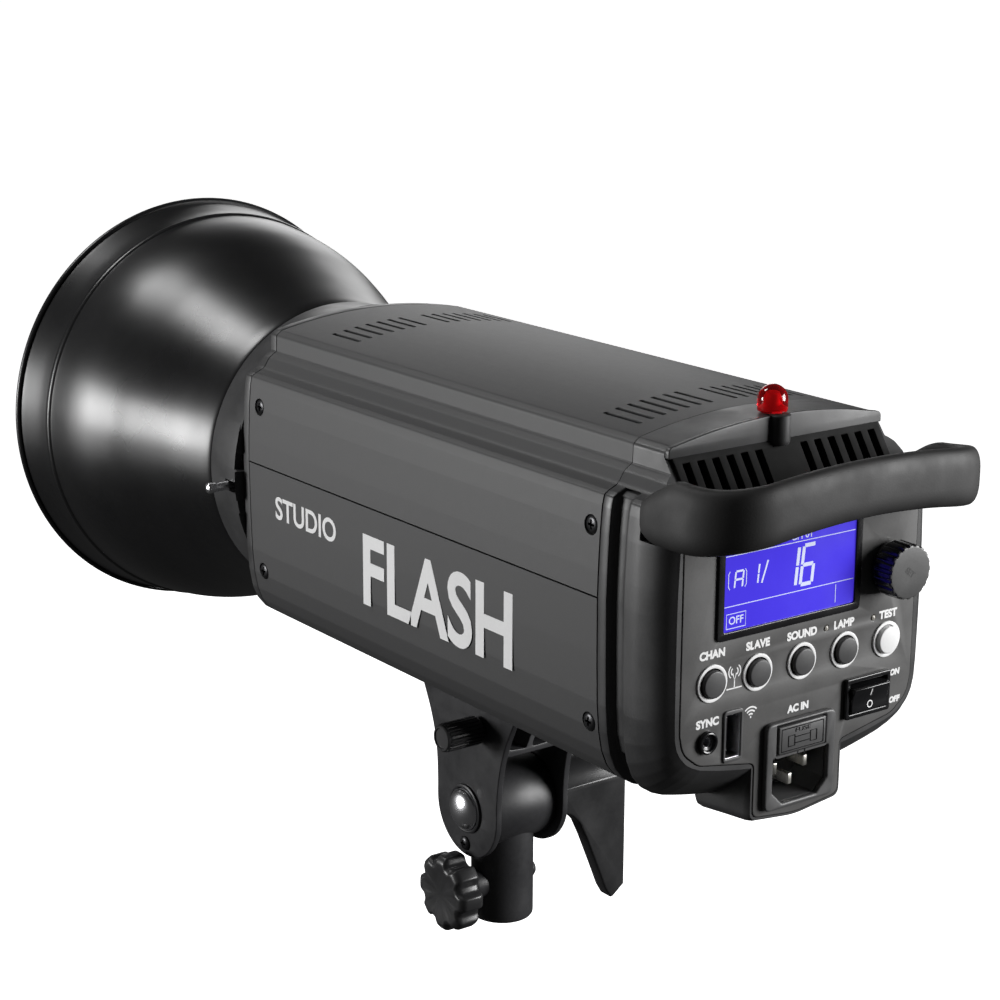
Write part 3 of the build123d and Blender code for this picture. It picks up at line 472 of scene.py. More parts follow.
RIM = P - 414.5
flare = [(RIM + 0.6, 93.6), (P - 409.5, 92.6), (P - 400, 90.7), (P - 394.0, 89.9)]
bead = [(P - 393.2, 90.0), (P - 392.4, 90.5), (P - 391.5, 90.6), (P - 390.6, 90.2), (P - 390.0, 89.6)]
bowl = [(P - 389.4, 89.5), (P - 376, 87.9), (P - 364, 85.4), (P - 352, 81.6), (P - 340, 77.1),
        (P - 328, 72.8), (P - 316, 68.8), (P - 304, 65.4), (P - 297, 63.6), (P - 293.4, 62.3),
        (P - 291.9, 60.4), (P - 291.6, 58.5)]
outside = flow(flare) + bead + flow(bowl) + [(P - 291.6, 47.0)]


def inward(profile, d):
    """Same (along, radius) profile moved towards the axis side by d."""
    out = []
    for i, p in enumerate(profile):
        a, b = Vector(profile[max(i - 1, 0)]), Vector(profile[min(i + 1, len(profile) - 1)])
        t = (b - a).normalized()
        out.append((p[0] + t.y * d, p[1] - t.x * d))
    return out


roll = [(RIM + 1.75 * cos(t), 93.4 + 1.75 * sin(t))
        for t in (radians(20 + 25 * k) for k in range(13))]
shell = lathe("reflector_shell", (0, 0, A), "y", inward(outside, 0.6)[::-1] + outside, 256, closed=True)
piece(shell, "reflector", "reflector_black", "reflector")
piece(lathe("reflector_rim", (0, 0, A), "y", roll, 256, closed=True), "reflector", "reflector_black")
lining = inward(outside, 0.7)
piece(lathe("reflector_lining", (0, 0, A), "y", inward(outside, 1.25)[::-1] + lining, 256, closed=True),
      "reflector", "reflector_black", look="reflector_silver")
neck = [(P - 292.2, 46.6), (P - 292.2, 48.2), (P - 282.6, 48.2), (P - 282.2, 47.8), (P - 282.2, 46.6)]
lugs = [lathe("neck", (0, 0, A), "y", neck, 160, closed=True)]
for a in (60, 180, 300):
    c, s = cos(radians(a)), sin(radians(a))
    side = ((-s, 0, c), (c, 0, s), (0, 1, 0))
    lugs.append(slab("lug", rounded([(-8, 46.9, 0), (8, 46.9, 0), (8, 50.6, 1.2), (-8, 50.6, 1.2)]), [],
                     (0, P - 282.8, A), side, 3.6, 0.3))
piece(merge("reflector_bayonet_lugs", lugs), "reflector", "reflector_black")

# ---- cowl, frame and covers
ring = [(-96.1, 61), (-96.1, 66.4), (-96.5, 65.6), (-97.2, 64.8), (-98.4, 64.2), (-100, 64.0),
        (P - 289.8, 64.0), (P - 290.7, 63.6), (P - 291, 62.9), (P - 291, 61)]
cowl = lathe("front_ring", (0, 0, A), "y", ring, 256, closed=True)
slit_up = [(3.4, P - 270.7), (3.4, P - 265.8), (8, P - 265.5), (13, P - 267.0), (17, P - 269.2),
           (20.6, P - 271.4), (14.6, P - 270.6), (7, P - 270.6)]
slit_low = [(-7.2, P - 265.6), (-7.2, P - 269.8), (-12, P - 269.9), (-17, P - 270.2), (-22.4, P - 271.0),
            (-16, P - 267.4), (-11, P - 265.7)]


def slit(points, turn=0, flip=1):
    ring_at = [[(r * cos(radians(turn + flip * a)), y, A + r * sin(radians(turn + flip * a)))
                for a, y in points] for r in (59, 70)]
    return loft("slit", ring_at)


tools = [slit(slit_up), slit(slit_low), slit(slit_up, 180, -1), slit(slit_low, 180, -1)]
tools += [slit(slit_up, t, f) for t in (60, 120, 240, 300) for f in (1, -1)]
tools.append(block("pin_slot", 55, 75, P - 278.4, P - 269.6, L + 9.6, L + 14.4))
cut(cowl, tools)
piece(cowl, "head", "housing_black", "front_ring")
piece(lathe("release_pin", (55, P - 276, L + 12), "x",
            [(0, 0), (0, 2.0), (14.2, 2.0), (14.4, 1.7), (15.0, 1.7), (15.2, 2.2)] + dome_profile(15.6, 2.2,
                    3.6, 0.9, 0.3),
            48), "release_pin", "chrome", "release_pin")

CROWN, KEEL = 82.4, -50.0        # top and bottom of the case on its middle line, from the button row
UPPER = [(62.2, 25.4, 0), (62.0, 34, 9), (61.4, 48, 9), (60.7, 56.4, 4), (59.9, 60.2, 1.5),
         (58.1, 61.3, 1.2), (54.2, 62.9, 3.5), (51.6, 66.9, 3.5), (49.2, 68.5, 1.5), (48.15, 69.0, 0.9),
         (48.0, 75.6, 2.2), (45.4, 77.4, 2.4)]
LOWER = [(62.2, 24.75, 0), (62.0, 5, 20), (61.6, -12, 14), (60.8, -22, 8), (59.4, -29.5, 7),
         (57.2, -35.0, 6), (53.6, -39.4, 5), (49.0, -42.4, 5), (44.0, -44.4, 5)]
REAR_LOWER = [(55.2, 24.9), (55.2, 5), (55.1, -10), (54.9, -17), (54.0, -20.8), (52.4, -23.6),
              (49.7, -26.6), (46.8, -28.4), (43.6, -29.8)]


def bow(x, z, middle, n=24):
    """Arc from (x, z) over the middle to (-x, z), without its end points."""
    rise = middle - z
    return [(x * (1 - 2 * k / n), z + rise * (1 - (1 - 2 * k / n) ** 2)) for k in range(1, n)]


def upper_half(side=0.0):
    """Upper outline of the case from +X to -X; side draws it in towards the panel's outline."""
    pts = [(x - (7 if z < 62.9 else 5) * side, z, r) for x, z, r in UPPER]
    right = rounded(pts + [(40, pts[-1][1] + 1.2, 0)], 5, closed=False)[:-1]
    return right + bow(right[-1][0], right[-1][1], CROWN) + [(-x, z) for x, z in right[::-1]]


def lower_half(keel=KEEL, side=0.0, low=0.0):
    """Lower outline from +X to -X; side and low move it in and up towards the panel's outline."""
    pts = [(a + (c - a) * side, b + (d - b) * low, r) for (a, b, r), (c, d) in zip(LOWER, REAR_LOWER)]
    right = rounded(pts + [(38, pts[-1][1] - 1.1, 0)], 5, closed=False)[:-1]
    return right + bow(right[-1][0], right[-1][1], keel) + [(-x, z) for x, z in right[::-1]]


def shell_ring(half, wall=2.0):
    """Closed ring of a bent sheet: the outside walked one way and the inside walked back."""
    v = [Vector(p) for p in half]
    back_side = []
    for i, p in enumerate(v):
        t = (v[min(i + 1, len(v) - 1)] - v[max(i - 1, 0)]).normalized()
        back_side.append(p + Vector((-t.y, t.x)) * wall)
    return [(p.x, p.y + L) for p in v] + [(p.x, p.y + L) for p in back_side[::-1]]


def at(y, ring_2d):
    return [(x, y, z) for x, z in ring_2d]


FRONT, REAR = P - 261.0, P - 33.0
SCREW_Y, SCREW_Z = (P - 253.3, P - 37.8), (L + 48.9, L - 20.2)
top_ring = shell_ring(upper_half())
low_half = [(-x, z) for x, z in lower_half()]
low_ring = shell_ring(low_half)
lines_y = [FRONT + 0.15, FRONT + 0.5, REAR - 0.4, REAR]
cover = loft("upper_cover", [at(y, top_ring) for y in lines_y])
SLOT_X = [s * (5.6 + 5.2 * i) for i in range(7) for s in (1, -1)]
slots = [prism("slot", box2(x - 0.95, x + 0.95, y - 10, y + 10, 0.95, 5), "z", L + 70, L + 90)
         for y in (P - 225.5, P - 52.3) for x in SLOT_X]


def recesses(z):
    """Round hollows for the side screws at one height."""
    return [lathe("recess", (s * 59.4, y, z), OUTWARD[s], [(0, 3.45), (4, 3.65)], 40)
            for s in (1, -1) for y in SCREW_Y]


cut(cover, [merge("slots", slots + recesses(SCREW_Z[0]))])
piece(cover, "head", "charcoal_powder_coat", "upper_cover")
tray = loft("lower_tray", [at(y, low_ring) for y in lines_y])
holes = [lathe("hole", (x, y, L - 54), "z", [(0, 2.05), (8, 2.05)], 24) for x in (12, -12)
         for y in (-26, 28)]
cut(tray, [merge("recesses", recesses(SCREW_Z[1]) + holes)])
bosses = [lathe("boss", (x, y, L - 47.0), "z", [(0, 4), (6.9, 4)], 24) for x in (-30, 30)
          for y in (-60, 30, 110)]
piece(merge("lower_tray", [tray] + bosses), "head", "charcoal_powder_coat", "lower_tray")
head = [(-1.4, 1.6), (-0.9, 3.2), (0.15, 3.3), (0.5, 3.0), (0.85, 2.1), (1.0, 0)]
heads = [screw("screw", (s * 60.4, y, z), OUTWARD[s], 3.3, head)
         for s in (1, -1) for y in SCREW_Y for z in SCREW_Z]
shanks = [lathe("shank", (s * 55.4, y, z), OUTWARD[s], [(0, 1.7), (3.8, 1.7)], 24)
          for s in (1, -1) for y in SCREW_Y for z in SCREW_Z]
piece(merge("body_screws", heads + shanks), "head", "screw_black", "body_screws")

whole = [(x, z + L) for x, z in upper_half() + low_half]
frame_plate = slab("front_frame_plate", whole, [circle(0, A, 48, 96)], (0, FRONT - 0.25, 0),
                   FACE, 4.75, 0.7)
tabs = [block("tab", min(s * 50, s * 57.3), max(s * 50, s * 57.3), FRONT - 1, FRONT + 15, z - 4.5, z + 4.5,
              0.3)
        for s in (1, -1) for z in SCREW_Z]
piece(merge("front_frame", [frame_plate] + tabs), "head", "housing_black", "front_frame")

# ---- rear housing
def housing_ring(y, groove=0.0, side=0.0, low=0.0):
    """Outline of the rear housing at y, drawn in by the depth of the groove there."""
    out = []
    for x, z in upper_half(side) + [(-x, z) for x, z in lower_half(KEEL + 14.5 * low, side, low)]:
        s = 1 if x > 0 else -1
        if z < 62.5:
            x -= s * min(groove, abs(x)) * (1 if z > -30 else max(0.0, (abs(x) - 30) / 22))
        if z < -25:
            z += groove * 0.47
        out.append((x, y, z + L))
    return out


steps = [(137.3, 0.5), (137.5, 0.15), (137.9, 0), (141.2, 0), (141.7, 0.15), (142.0, 0.7), (142.1, 1.6),
         (142.4, 2.7), (143.1, 3.2), (145.5, 3.2), (148.0, 3.2), (148.9, 2.8), (149.5, 1.9), (149.9, 0.9),
         (150.3, 0.3), (150.9, 0.05)]
rings = [housing_ring(y, g) for y, g in steps]
blend = [(151.5, 0, 0), (157.5, 0, 0.22), (164.0, 0.22, 0.55), (167.5, 0.55, 0.8), (169.7, 1, 1)]
path_s = flow([(y, s) for y, s, low in blend], 6)
path_l = flow([(y, low) for y, s, low in blend], 6)
rings += [housing_ring(y, 0, s, low) for (y, s), (_, low) in zip(path_s, path_l)]
housing = loft("rear_housing", rings)
CHIN = ((-34, 16, -48.4, -49.2, 0), (-31, 19.5, -50.4, -51.2, 0), (-27, 22.8, -53.0, -54.0, 0),
        (-23.6, 24.5, -55.1, -56.3, 0), (-21.5, 24.4, -55.4, -56.6, 0), (-12, 23, -54.9, -56.5, 0),
        (-3, 21.8, -54.5, -56.4, 0), (-1.2, 21.5, -54.4, -56.4, 0.2), (-0.3, 21.4, -54.4, -56.4, 0.7))
chin = []
for y, w, lo, mid, tuck in CHIN:
    pts = [(w - tuck, L - 30, 0), (w - tuck, L + lo + 0.4 + tuck, 3.4), (0, L + mid + tuck, 30),
           (tuck - w, L + lo + 0.4 + tuck, 3.4), (tuck - w, L - 30, 0)]
    chin.append(at(P + y, rounded(pts, 8)))
cut(housing, [loft("chin", chin)], "UNION")
PLATE = [(53.1, 51.8, 1.5), (53.1, -15.5, 12), (51.6, -22.4, 10), (44.6, -28.0, 9), (19.8, -32.6, 2.6),
         (19.8, -52.3, 3.2), (0, -54.8, 40)]


def plate_outline(grow):
    right = [(x + (grow if x else 0), z + (grow if z > 0 else -grow), r) for x, z, r in PLATE]
    return [(x, z + L) for x, z in rounded(right + [(-x, z, r) for x, z, r in right[-2::-1]], 8)]


slope = [(P - 17.0, L + 92), (P - 17.0, L + 74.2), (P - 1, L + 52.8), (P + 5, L + 52.8), (P + 5, L + 92)]
seat = [(P - 12.7, L + 49.4), (P + 1, L + 48.3), (P + 5, L + 48.3), (P + 5, L + 78), (P - 12.7, L + 78)]
tools = [prism("slope", slope, "x", -75, 75), prism("pocket", plate_outline(0.25), "y", REAR - 2, P + 12),
         block("grille_pocket", -46.4, 46.4, REAR - 2, P + 1, L + 50, L + 76.0),
         prism("seat", seat, "x", 53.3, 80), prism("seat", seat, "x", -80, -53.3)]
for t in tools:
    cut(housing, [t], sharp=30)
piece(housing, "head", "housing_black", "rear_housing")

STEM = P - 14.5                  # Y of the lamp's stem

# Insert over the grille: a band that follows the crown, then the sloping slotted grille.
crown = [(x, z + L) for x, z in bow(44.6, 77.7, CROWN, 30)]
band = rounded([(47.9, L + 73.6, 0.4), (47.9, L + 77.2, 3.0)] + [(x, z, 0) for x, z in crown] +
               [(-47.9, L + 77.2, 3.0), (-47.9, L + 73.6, 0.4)], 6)
inset = slab("rear_band", band, [], (0, P - 14.9, 0), FACE, 2.0, 0.3)
cut(inset, [lathe("stem_seat", (0, STEM, L + 68), "z", [(0, 3.75), (20, 3.75)], 64)])
piece(inset, "head", "housing_black", "rear_grille", look="band_black")
run = Vector((0, 13.7, 53.0 - 74.0)).normalized()
face = ((-1, 0, 0), -run, Vector((-1, 0, 0)).cross(-run))
length = hypot(13.7, 21.0)
vents = [box2(x - 1.6, x + 1.6, -length + 1.8, -2.4, 0.35, 2) for x in [s * (10.2 + 6.3 * i)
        for i in range(6) for s in (1, -1)]]
grille = slab("rear_grille", box2(-46.2, 46.2, -length, 0, 0.4), vents, (0, P - 15.0, L + 74.0), face, 1.8,
              0.12)
cut(grille, [lathe("stem_seat", (0, STEM, L + 71.9), "z", [(0, 3.75), (20, 3.75)], 64)])
piece(grille, "head", "housing_black", look="grille_black")
LAMP = (0, P - 18.4, L + 82.9)
stem = [(-10.6, 0), (-10.6, 2.4), (-10.3, 3.2), (-9.6, 3.55), (-8.8, 3.6), (-0.4, 3.6), (-0.1, 3.3),
        (0, 3.0), (0, 0)]
piece(lathe("lamp_stem", (0, STEM, L + 82.8), "z", stem, 64), "head", "housing_black", "lamp_stem")
cap = [(0, 0), (0, 4.7), (0.3, 5.1), (0.8, 5.2), (4.1, 5.2)] + [
    (4.1 + 5.2 * sin(t), 5.2 * cos(t)) for t in (radians(6 * k) for k in range(1, 15))] + [(9.3, 0)]
piece(lathe("lamp_dome", LAMP, "z", cap, 96), "head", "red_lens", "lamp_dome")
core = [(0.4, 0), (0.4, 3.4), (1.2, 3.6), (2.6, 2.2), (4.2, 2.2), (5.6, 1.6), (6.2, 0)]
piece(lathe("lamp_reflector", LAMP, "z", core, 48), "head", "red_lens", look="lamp_core")

# ---- handle
def u_path(steps=14):
    """(inner point, outer point) pairs along the U, from the +X arm's front to the -X arm's front."""
    half = [((53.7, P - 12.4 + (19.4 * k / 10)), (62.7, P - 12.4 + (20.4 * k / 10))) for k in range(10)]
    for k in range(steps + 1):
        t = radians(90 * k / steps)
        half.append(((37.7 + 16 * cos(t), P + 7 + 16 * sin(t)),
                     (39.7 + 23 * cos(t), P + 8 + 23 * sin(t))))
    bar = [((36 * (1 - k / 10), P + 23), (38 * (1 - k / 10), P + 31)) for k in range(1, 11)]
    half += bar
    mirror = [((-a[0], a[1]), (-b[0], b[1])) for a, b in half[-2::-1]]
    return half + mirror


def ease(x, x0, x1):
    t = min(1, max(0, (x - x0) / (x1 - x0)))
    return t * t * (3 - 2 * t)


def grip_heights(x, y):
    """Bottom and top of the grip at a place along the U, above the button row."""
    d = y - P
    arm_low = 49.7 - 1.0 * ease(d, -13, -4)
    arm_top = 62.4 + 7.6 * ease(d, -14, 4) + 0.03 * x
    m = ease(d, 1, 27)
    bar_low = 56.4 - 3.4 * (x / 44) ** 2
    bar_top = 75.6 - 2.8 * (x / 46) ** 2
    return arm_low * (1 - m) + bar_low * m, arm_top * (1 - m) + bar_top * m


grip = []
path = u_path()
for i, (a, b) in enumerate(path):
    mid = ((a[0] + b[0]) / 2, (a[1] + b[1]) / 2)
    lo, hi = grip_heights(*mid)
    end = min(i, len(path) - 1 - i)
    tuck = (1.0, 0.35, 0.0)[min(end, 2)]
    ring_pts = []
    for k in range(40):
        t = 2 * pi * k / 40
        c, s = cos(t), sin(t)
        e = 0.62
        u = 0.5 + (0.5 - tuck / 9) * copysign(abs(c) ** e, c)
        w = copysign(abs(s) ** e, s)
        z = (lo + hi) / 2 + w * ((hi - lo) / 2 - tuck)
        bulge = 1 - 0.16 * abs(w) ** 3
        u = 0.5 + (u - 0.5) * bulge
        ring_pts.append((a[0] + (b[0] - a[0]) * u, a[1] + (b[1] - a[1]) * u, L + z))
    grip.append(ring_pts)
piece(loft("handle", grip, sharp=60), "head", "handle_rubber", "handle")
head = [(-0.3, 0), (-0.3, 1.5), (0, 2.8), (0.9, 2.7), (1.3, 1.9), (1.45, 0)]
parts = [screw("screw", (s * 44.6, P - 10, L + 57), OUTWARD[-s], 2.8, head) for s in (1, -1)]
parts += [lathe("shank", (s * 44.6, P - 10, L + 57), OUTWARD[s], [(0, 1.5), (15.4, 1.5)], 24)
          for s in (1, -1)]
piece(merge("handle_screws", parts), "head", "screw_black", "handle_screws")

# ---- control panel
BUTTON_X = [40, 20, 0, -20, -40]
DIAL, JACK, IN, ROCK = (-39.2, L + 26.8), (41.5, L - 20.2), 0.3, (-31.3, L - 18.4)
LEDS = [(-11.2, L + 9.3), (-33.5, L + 8.9)]
holes = [circle(x, L, 5.2) for x in BUTTON_X] + [circle(*DIAL, 3.5), circle(*JACK, 3.05)]
holes += [circle(x, z, 1.05, 20) for x, z in LEDS]
holes += [box2(-24, 37, L + 15.6, L + 47.6, 0.6), box2(26.4, 33.8, L - 28.5, L - 12.1, 1),
          box2(IN - 13.7, IN + 13.7, L - 50.5, L - 20.1, 0.6),
          box2(ROCK[0] - 9.5, ROCK[0] + 9.5, ROCK[1] - 6.3, ROCK[1] + 6.3, 0.4)]
piece(slab("control_panel", plate_outline(0), holes, (0, P, 0), FACE, 2.0, 0.35), "head", "panel_black",
      "control_panel")
piece(slab("lcd_bezel", box2(-25.8, 38.8, L + 13.8, L + 49.4, 2.0),
           [box2(-23.0, 36.0, L + 16.6, L + 46.6, 0.8)], (0, P + 0.9, 0), FACE, 0.84, 0.3), "head",
      "lcd_black", "lcd_bezel")
piece(slab("lcd_window", box2(-23.7, 36.7, L + 15.9, L + 47.3, 0.5), [], (0, P + 0.3, 0), FACE, 1.4, 0.12),
      "head", "lcd_blue", "lcd_window")
for i, x in enumerate(BUTTON_X):
    name = ("button_model", "button_mode", "button_sound", "button_slave", "button_test")[i]
    white = i == 4
    cap = [(-6.4, 0), (-6.4, 1.6), (-4.4, 1.6), (-4.4, 6.2), (-2.4, 6.2), (-2.4, 4.75)]
    cap += dome_profile(-2.0, 4.9 if white else 4.75, 4.4, 0.6, 0.25)
    piece(lathe(name, (x, P, L), "y", cap, 64), name, "button_white" if white else "button_grey", name)
ring_profile = [(0.05, 5.25), (0.05, 6.5), (0.45, 6.5), (0.62, 6.35), (0.66, 6.1), (0.66, 5.6), (0.6, 5.35),
                (0.4, 5.25)]
piece(merge("button_rings", [lathe("ring", (x, P, L), "y", ring_profile, 72, closed=True)
        for x in BUTTON_X]),
      "head", "button_white", "button_rings")
for i, (x, z) in enumerate(LEDS):
    led = lathe("indicator_led_%d" % (i + 1), (x, P, z), "y",
                [(-9.5, 0), (-9.5, 0.95)] + dome_profile(-1, 0.95, 1.5, 0.4, 0.2), 32)
    piece(led, "head", "led_clear", *(["indicator_leds"] if i == 0 else []))


def scallop(t, a):
    if a < 3.0 or a > 10.9:
        return 1.0
    f = (t * 20 / (2 * pi)) % 1 - 0.5
    return 1 - 0.055 * max(0.0, 1 - (f / 0.3) ** 2)


side = [(1.0, 3.3), (1.0, 8.7), (1.3, 9.1), (2.6, 9.2), (2.9, 9.6), (3.2, 9.9), (9.6, 9.75), (10.2, 9.6),
        (10.25, 0)]
piece(lathe("set_dial_body", (DIAL[0], P, DIAL[1]), "y", side, 400, scallop), "set_dial", "dial_grey",
      "set_dial", look="lcd_black")
face_profile = [(10.2, 0), (10.2, 9.55), (10.6, 9.6), (10.85, 9.4), (10.95, 9.05), (11.0, 8.7), (11.0, 4),
                (11.0, 0)]
piece(lathe("set_dial_face", (DIAL[0], P, DIAL[1]), "y", face_profile, 400, scallop), "set_dial",
      "dial_grey")
tilt = radians(-38)
words("dial_word", "SET", 2.1, (DIAL[0] + 0.3, P + 10.95, DIAL[1]),
      ((-cos(tilt), 0, sin(tilt)), (sin(tilt), 0, cos(tilt)), (0, 1, 0)), 0.1, body="set_dial",
      slot="dial_grey", look="print_dark", bold=0.12)

jack = [(-17, 1.75), (-17, 3.0), (0, 3.0), (0.05, 4.0), (1.2, 4.0), (1.55, 3.7), (1.65, 3.3), (1.5, 2.9),
        (0.7, 2.5), (0.5, 1.75)]
piece(lathe("sync_jack", (JACK[0], P, JACK[1]), "y", jack, 72, closed=True), "head", "lcd_black",
      "sync_jack")
piece(lathe("sync_sleeve", (JACK[0], P, JACK[1]), "y", [(-14, 1.3), (-14, 1.74), (0.2, 1.74), (0.2, 1.5)],
            48, closed=True),
      "head", "lcd_black", look="steel")
usb_y = (L - 29.4, L - 11.0)
piece(slab("usb_frame", box2(25.9, 34.4, usb_y[0], usb_y[1], 1.6),
           [box2(26.9, 33.4, L - 28.0, L - 12.6, 0.4)], (0, P + 0.7, 0), FACE, 1.0, 0.35), "head",
      "lcd_black", look="inlet_grey")
tube = slab("usb_shell", box2(26.6, 33.6, L - 28.3, L - 12.3, 0.8),
            [box2(27.1, 33.1, L - 27.8, L - 12.8, 0.5)], (0, P + 0.2, 0), FACE, 14, 0.15)
tongue = block("tongue", 30.6, 32.2, P - 12, P - 2.0, L - 26.4, L - 14.2, 0.2)
contacts = [block("contact", 30.3, 30.7, P - 10, P - 2.6, z - 0.6, z + 0.6, 0.05)
            for z in (L - 24.4, L - 21.6, L - 18.8, L - 16)]
piece(merge("usb_shell", [tube] + contacts), "head", "steel", "usb_shell")
piece(tongue, "head", "lcd_black")

# Mains inlet
PINS = ((-7, -38.4), (7, -38.4), (0, -43.6))
mouth = [box2(IN - 11.2, IN + 11.2, L - 31.4, L - 20.8, 0.4),
         rounded([(IN - 12.6, L - 32.2, 0.6), (IN - 12.6, L - 44.4, 1), (IN - 7.9, L - 49.1, 1),
                  (IN + 7.9, L - 49.1, 1), (IN + 12.6, L - 44.4, 1), (IN + 12.6, L - 32.2, 0.6)])]
flange = slab("inlet_housing", box2(IN - 16, IN + 16, L - 51, L - 19.5, 3.0), mouth, (0, P + 2.2, 0), FACE,
              2.15, 0.8)
well = slab("well", box2(IN - 13.5, IN + 13.5, L - 50.1, L - 20.5, 0.5), mouth, (0, P + 0.1, 0), FACE, 14.1,
            0.02)
pin_holes = [box2(IN + x - 1.05, IN + x + 1.05, L + z - 2.05, L + z + 2.05, 0.2) for x, z in PINS]
floor_of_well = slab("well_floor", box2(IN - 13.4, IN + 13.4, L - 50.0, L - 32.0, 0.5), pin_holes,
                     (0, P - 14, 0), FACE, 11.5, 0.02)
piece(merge("inlet_housing", [flange, well, floor_of_well]), "head", "lcd_black", "inlet_housing",
      look="inlet_grey")
piece(merge("inlet_pins", [block("pin", IN + x - 1, IN + x + 1, P - 29, P - 3, L + z - 2, L + z + 2, 0.35)
                           for x, z in PINS]), "head", "brass_contacts", "inlet_pins")
drawer = block("fuse_drawer", IN - 10.8, IN + 10.8, P - 22, P + 2.6, L - 31.0, L - 21.2, 0.45)
cut(drawer, [block("notch", IN - 10, IN + 10, P - 20, P - 1, L - 30.4, L - 21.8)])
piece(drawer, "fuse_drawer", "lcd_black", "fuse_drawer", look="inlet_grey")
z0 = L - 26.1
marks = [rect_line(IN - 6.5, IN - 3.6, z0 - 2.6, z0 + 1.2), rect_line(IN + 6.5, IN + 3.6, z0 - 2.6,
        z0 + 1.2),
         [(IN - 3.6, z0 + 0.4), (IN + 3.6, z0 + 0.4)], [(IN - 3.6, z0 - 1.8), (IN + 3.6, z0 - 1.8)],
         rect_line(IN - 9.6, IN + 9.6, z0 - 4.0, z0 + 4.0)]
strokes("fuse_outline", marks, 0.35, (0, P + 2.6, 0), FACE, 0.12, body="fuse_drawer", slot="lcd_black")
words("fuse_word", "FUSE", 1.5, (IN, P + 2.6, z0 + 2.7), "y", 0.1, body="fuse_drawer", slot="lcd_black",
      stretch=1.6)
strokes("drawer_tab", [[(IN - 1.6, L - 33.6), (IN - 1.6, L - 31.2)],
                       [(IN + 1.6, L - 33.6), (IN + 1.6, L - 31.2)]], 0.35,
        (0, P + 2.2, 0), FACE, 0.1, slot="lcd_black")

# Power switch
x, z = ROCK
bezel = slab("rocker_bezel", box2(x - 10.6, x + 10.6, z - 7.4, z + 7.4, 1.1),
             [box2(x - 8.9, x + 8.9, z - 5.6, z + 5.6, 0.3)], (0, P + 1.65, 0), FACE, 1.6, 0.4)
body_box = slab("body", box2(x - 9.4, x + 9.4, z - 6.2, z + 6.2, 0.3),
                [box2(x - 8.9, x + 8.9, z - 5.6, z + 5.6, 0.3)], (0, P + 0.1, 0), FACE, 11, 0.02)
back_wall = block("back_wall", x - 9.2, x + 9.2, P - 13, P - 10.8, z - 6, z + 6, 0.1)
piece(merge("rocker_bezel", [bezel, body_box, back_wall]), "head", "lcd_black", "rocker_bezel")
lean = radians(8)
profile = rounded([(-4.6, 5.2, 0.5), (0, 4.3, 14), (4.6, 5.2, 0.5), (4.6, 0.6, 0.3), (2.4, -4.5, 0.5),
                   (-2.4, -4.5, 0.5), (-4.6, 0.6, 0.3)], 6)
rings = [[(x + a, P - 2 + u * s * sin(lean) + v * s * cos(lean),
           z + u * s * cos(lean) - v * s * sin(lean)) for u, v in profile]
         for a, s in ((-8.6, 0.94), (-8.45, 0.98), (-8.1, 1), (8.1, 1), (8.45, 0.98), (8.6, 0.94))]
rocker = loft("power_rocker", rings, sharp=40)
axle = lathe("axle", (x - 9.1, P - 2, z), "x", [(0, 1), (18.2, 1)], 24)
piece(merge("power_rocker", [rocker, axle]), "power_rocker", "lcd_black", "power_rocker")
out = Vector((0, cos(lean), -sin(lean)))
upw = Vector((0, sin(lean), cos(lean)))
c = Vector((x, P - 2, z))


def tilted(turn):
    """Sketch frame on one half of the rocker's face."""
    return ((-1, 0, 0), upw * cos(turn) + out * sin(turn), out * cos(turn) - upw * sin(turn))


slope_in = atan2(0.9, 4.6)
strokes("rocker_on_mark", [[(0, -1.3), (0, 1.3)]], 0.4, c + out * 4.78 + upw * 2.3, tilted(slope_in), 0.08,
        body="power_rocker", slot="lcd_black", look="button_white")
strokes("rocker_off_mark", [ring_line(0, 0, 1.15)], 0.4, c + out * 4.78 - upw * 2.3, tilted(-slope_in),
        0.08, body="power_rocker", slot="lcd_black", look="button_white")

# ---- printed legends
legend = dict(slot="panel_black", look="print_white")
for text, x, z, size in (("CHAN", 40, 9.9, 2.7), ("SLAVE", 20, 9.6, 2.7), ("SOUND", 0, 9.4, 2.7),
                         ("LAMP", -19.4, 9.4, 2.7), ("TEST", -40.6, 9.0, 2.7), ("SYNC", 41.3, -13.6, 2.7),
                         ("AC IN", 0.5, -16.6, 2.5), ("ON", -45.2, -13.2, 2.0), ("OFF", -45.6, -23.4, 2.0)):
    words("legend_" + text.replace(" ", "_"), text, size, (x, P, L + z), "y", bold=0.2, **legend, shear=0.12
          if text in ("ON", "OFF") else 0.0)
waves = [ring_line(30, L + 2.2, r, a, a + 100, 8) for r in (1.5, 2.6) for a in (-50, 130)]
strokes("link_line", [[(33.4, L - 3.6), (26.6, L - 3.6)], [(30, L - 3.6), (30, L - 0.6)],
                      [(29.2, L + 1.6), (30, L - 0.8), (30.8, L + 1.6)]] + waves,
        0.45, (0, P, 0), FACE, 0.08, **legend)
strokes("wave_mark", [ring_line(22.2, L - 15.5, r, 45, 135, 10) for r in (1.2, 2.4, 3.6)] +
        [[(22.2, L - 15.8), (22.2, L - 15.1)]], 0.55, (0, P, 0), FACE, 0.08, **legend)

# Display segments, drawn on the glass
SEG = {"a": ((0, 2), (1, 2)), "b": ((1, 2), (1, 1)), "c": ((1, 1), (1, 0)), "d": ((0, 0), (1, 0)),
       "e": ((0, 0), (0, 1)), "f": ((0, 1), (0, 2)), "g": ((0, 1), (1, 1))}
DIGITS = {"1": "bc", "6": "afgcde", "A": "abcefg"}


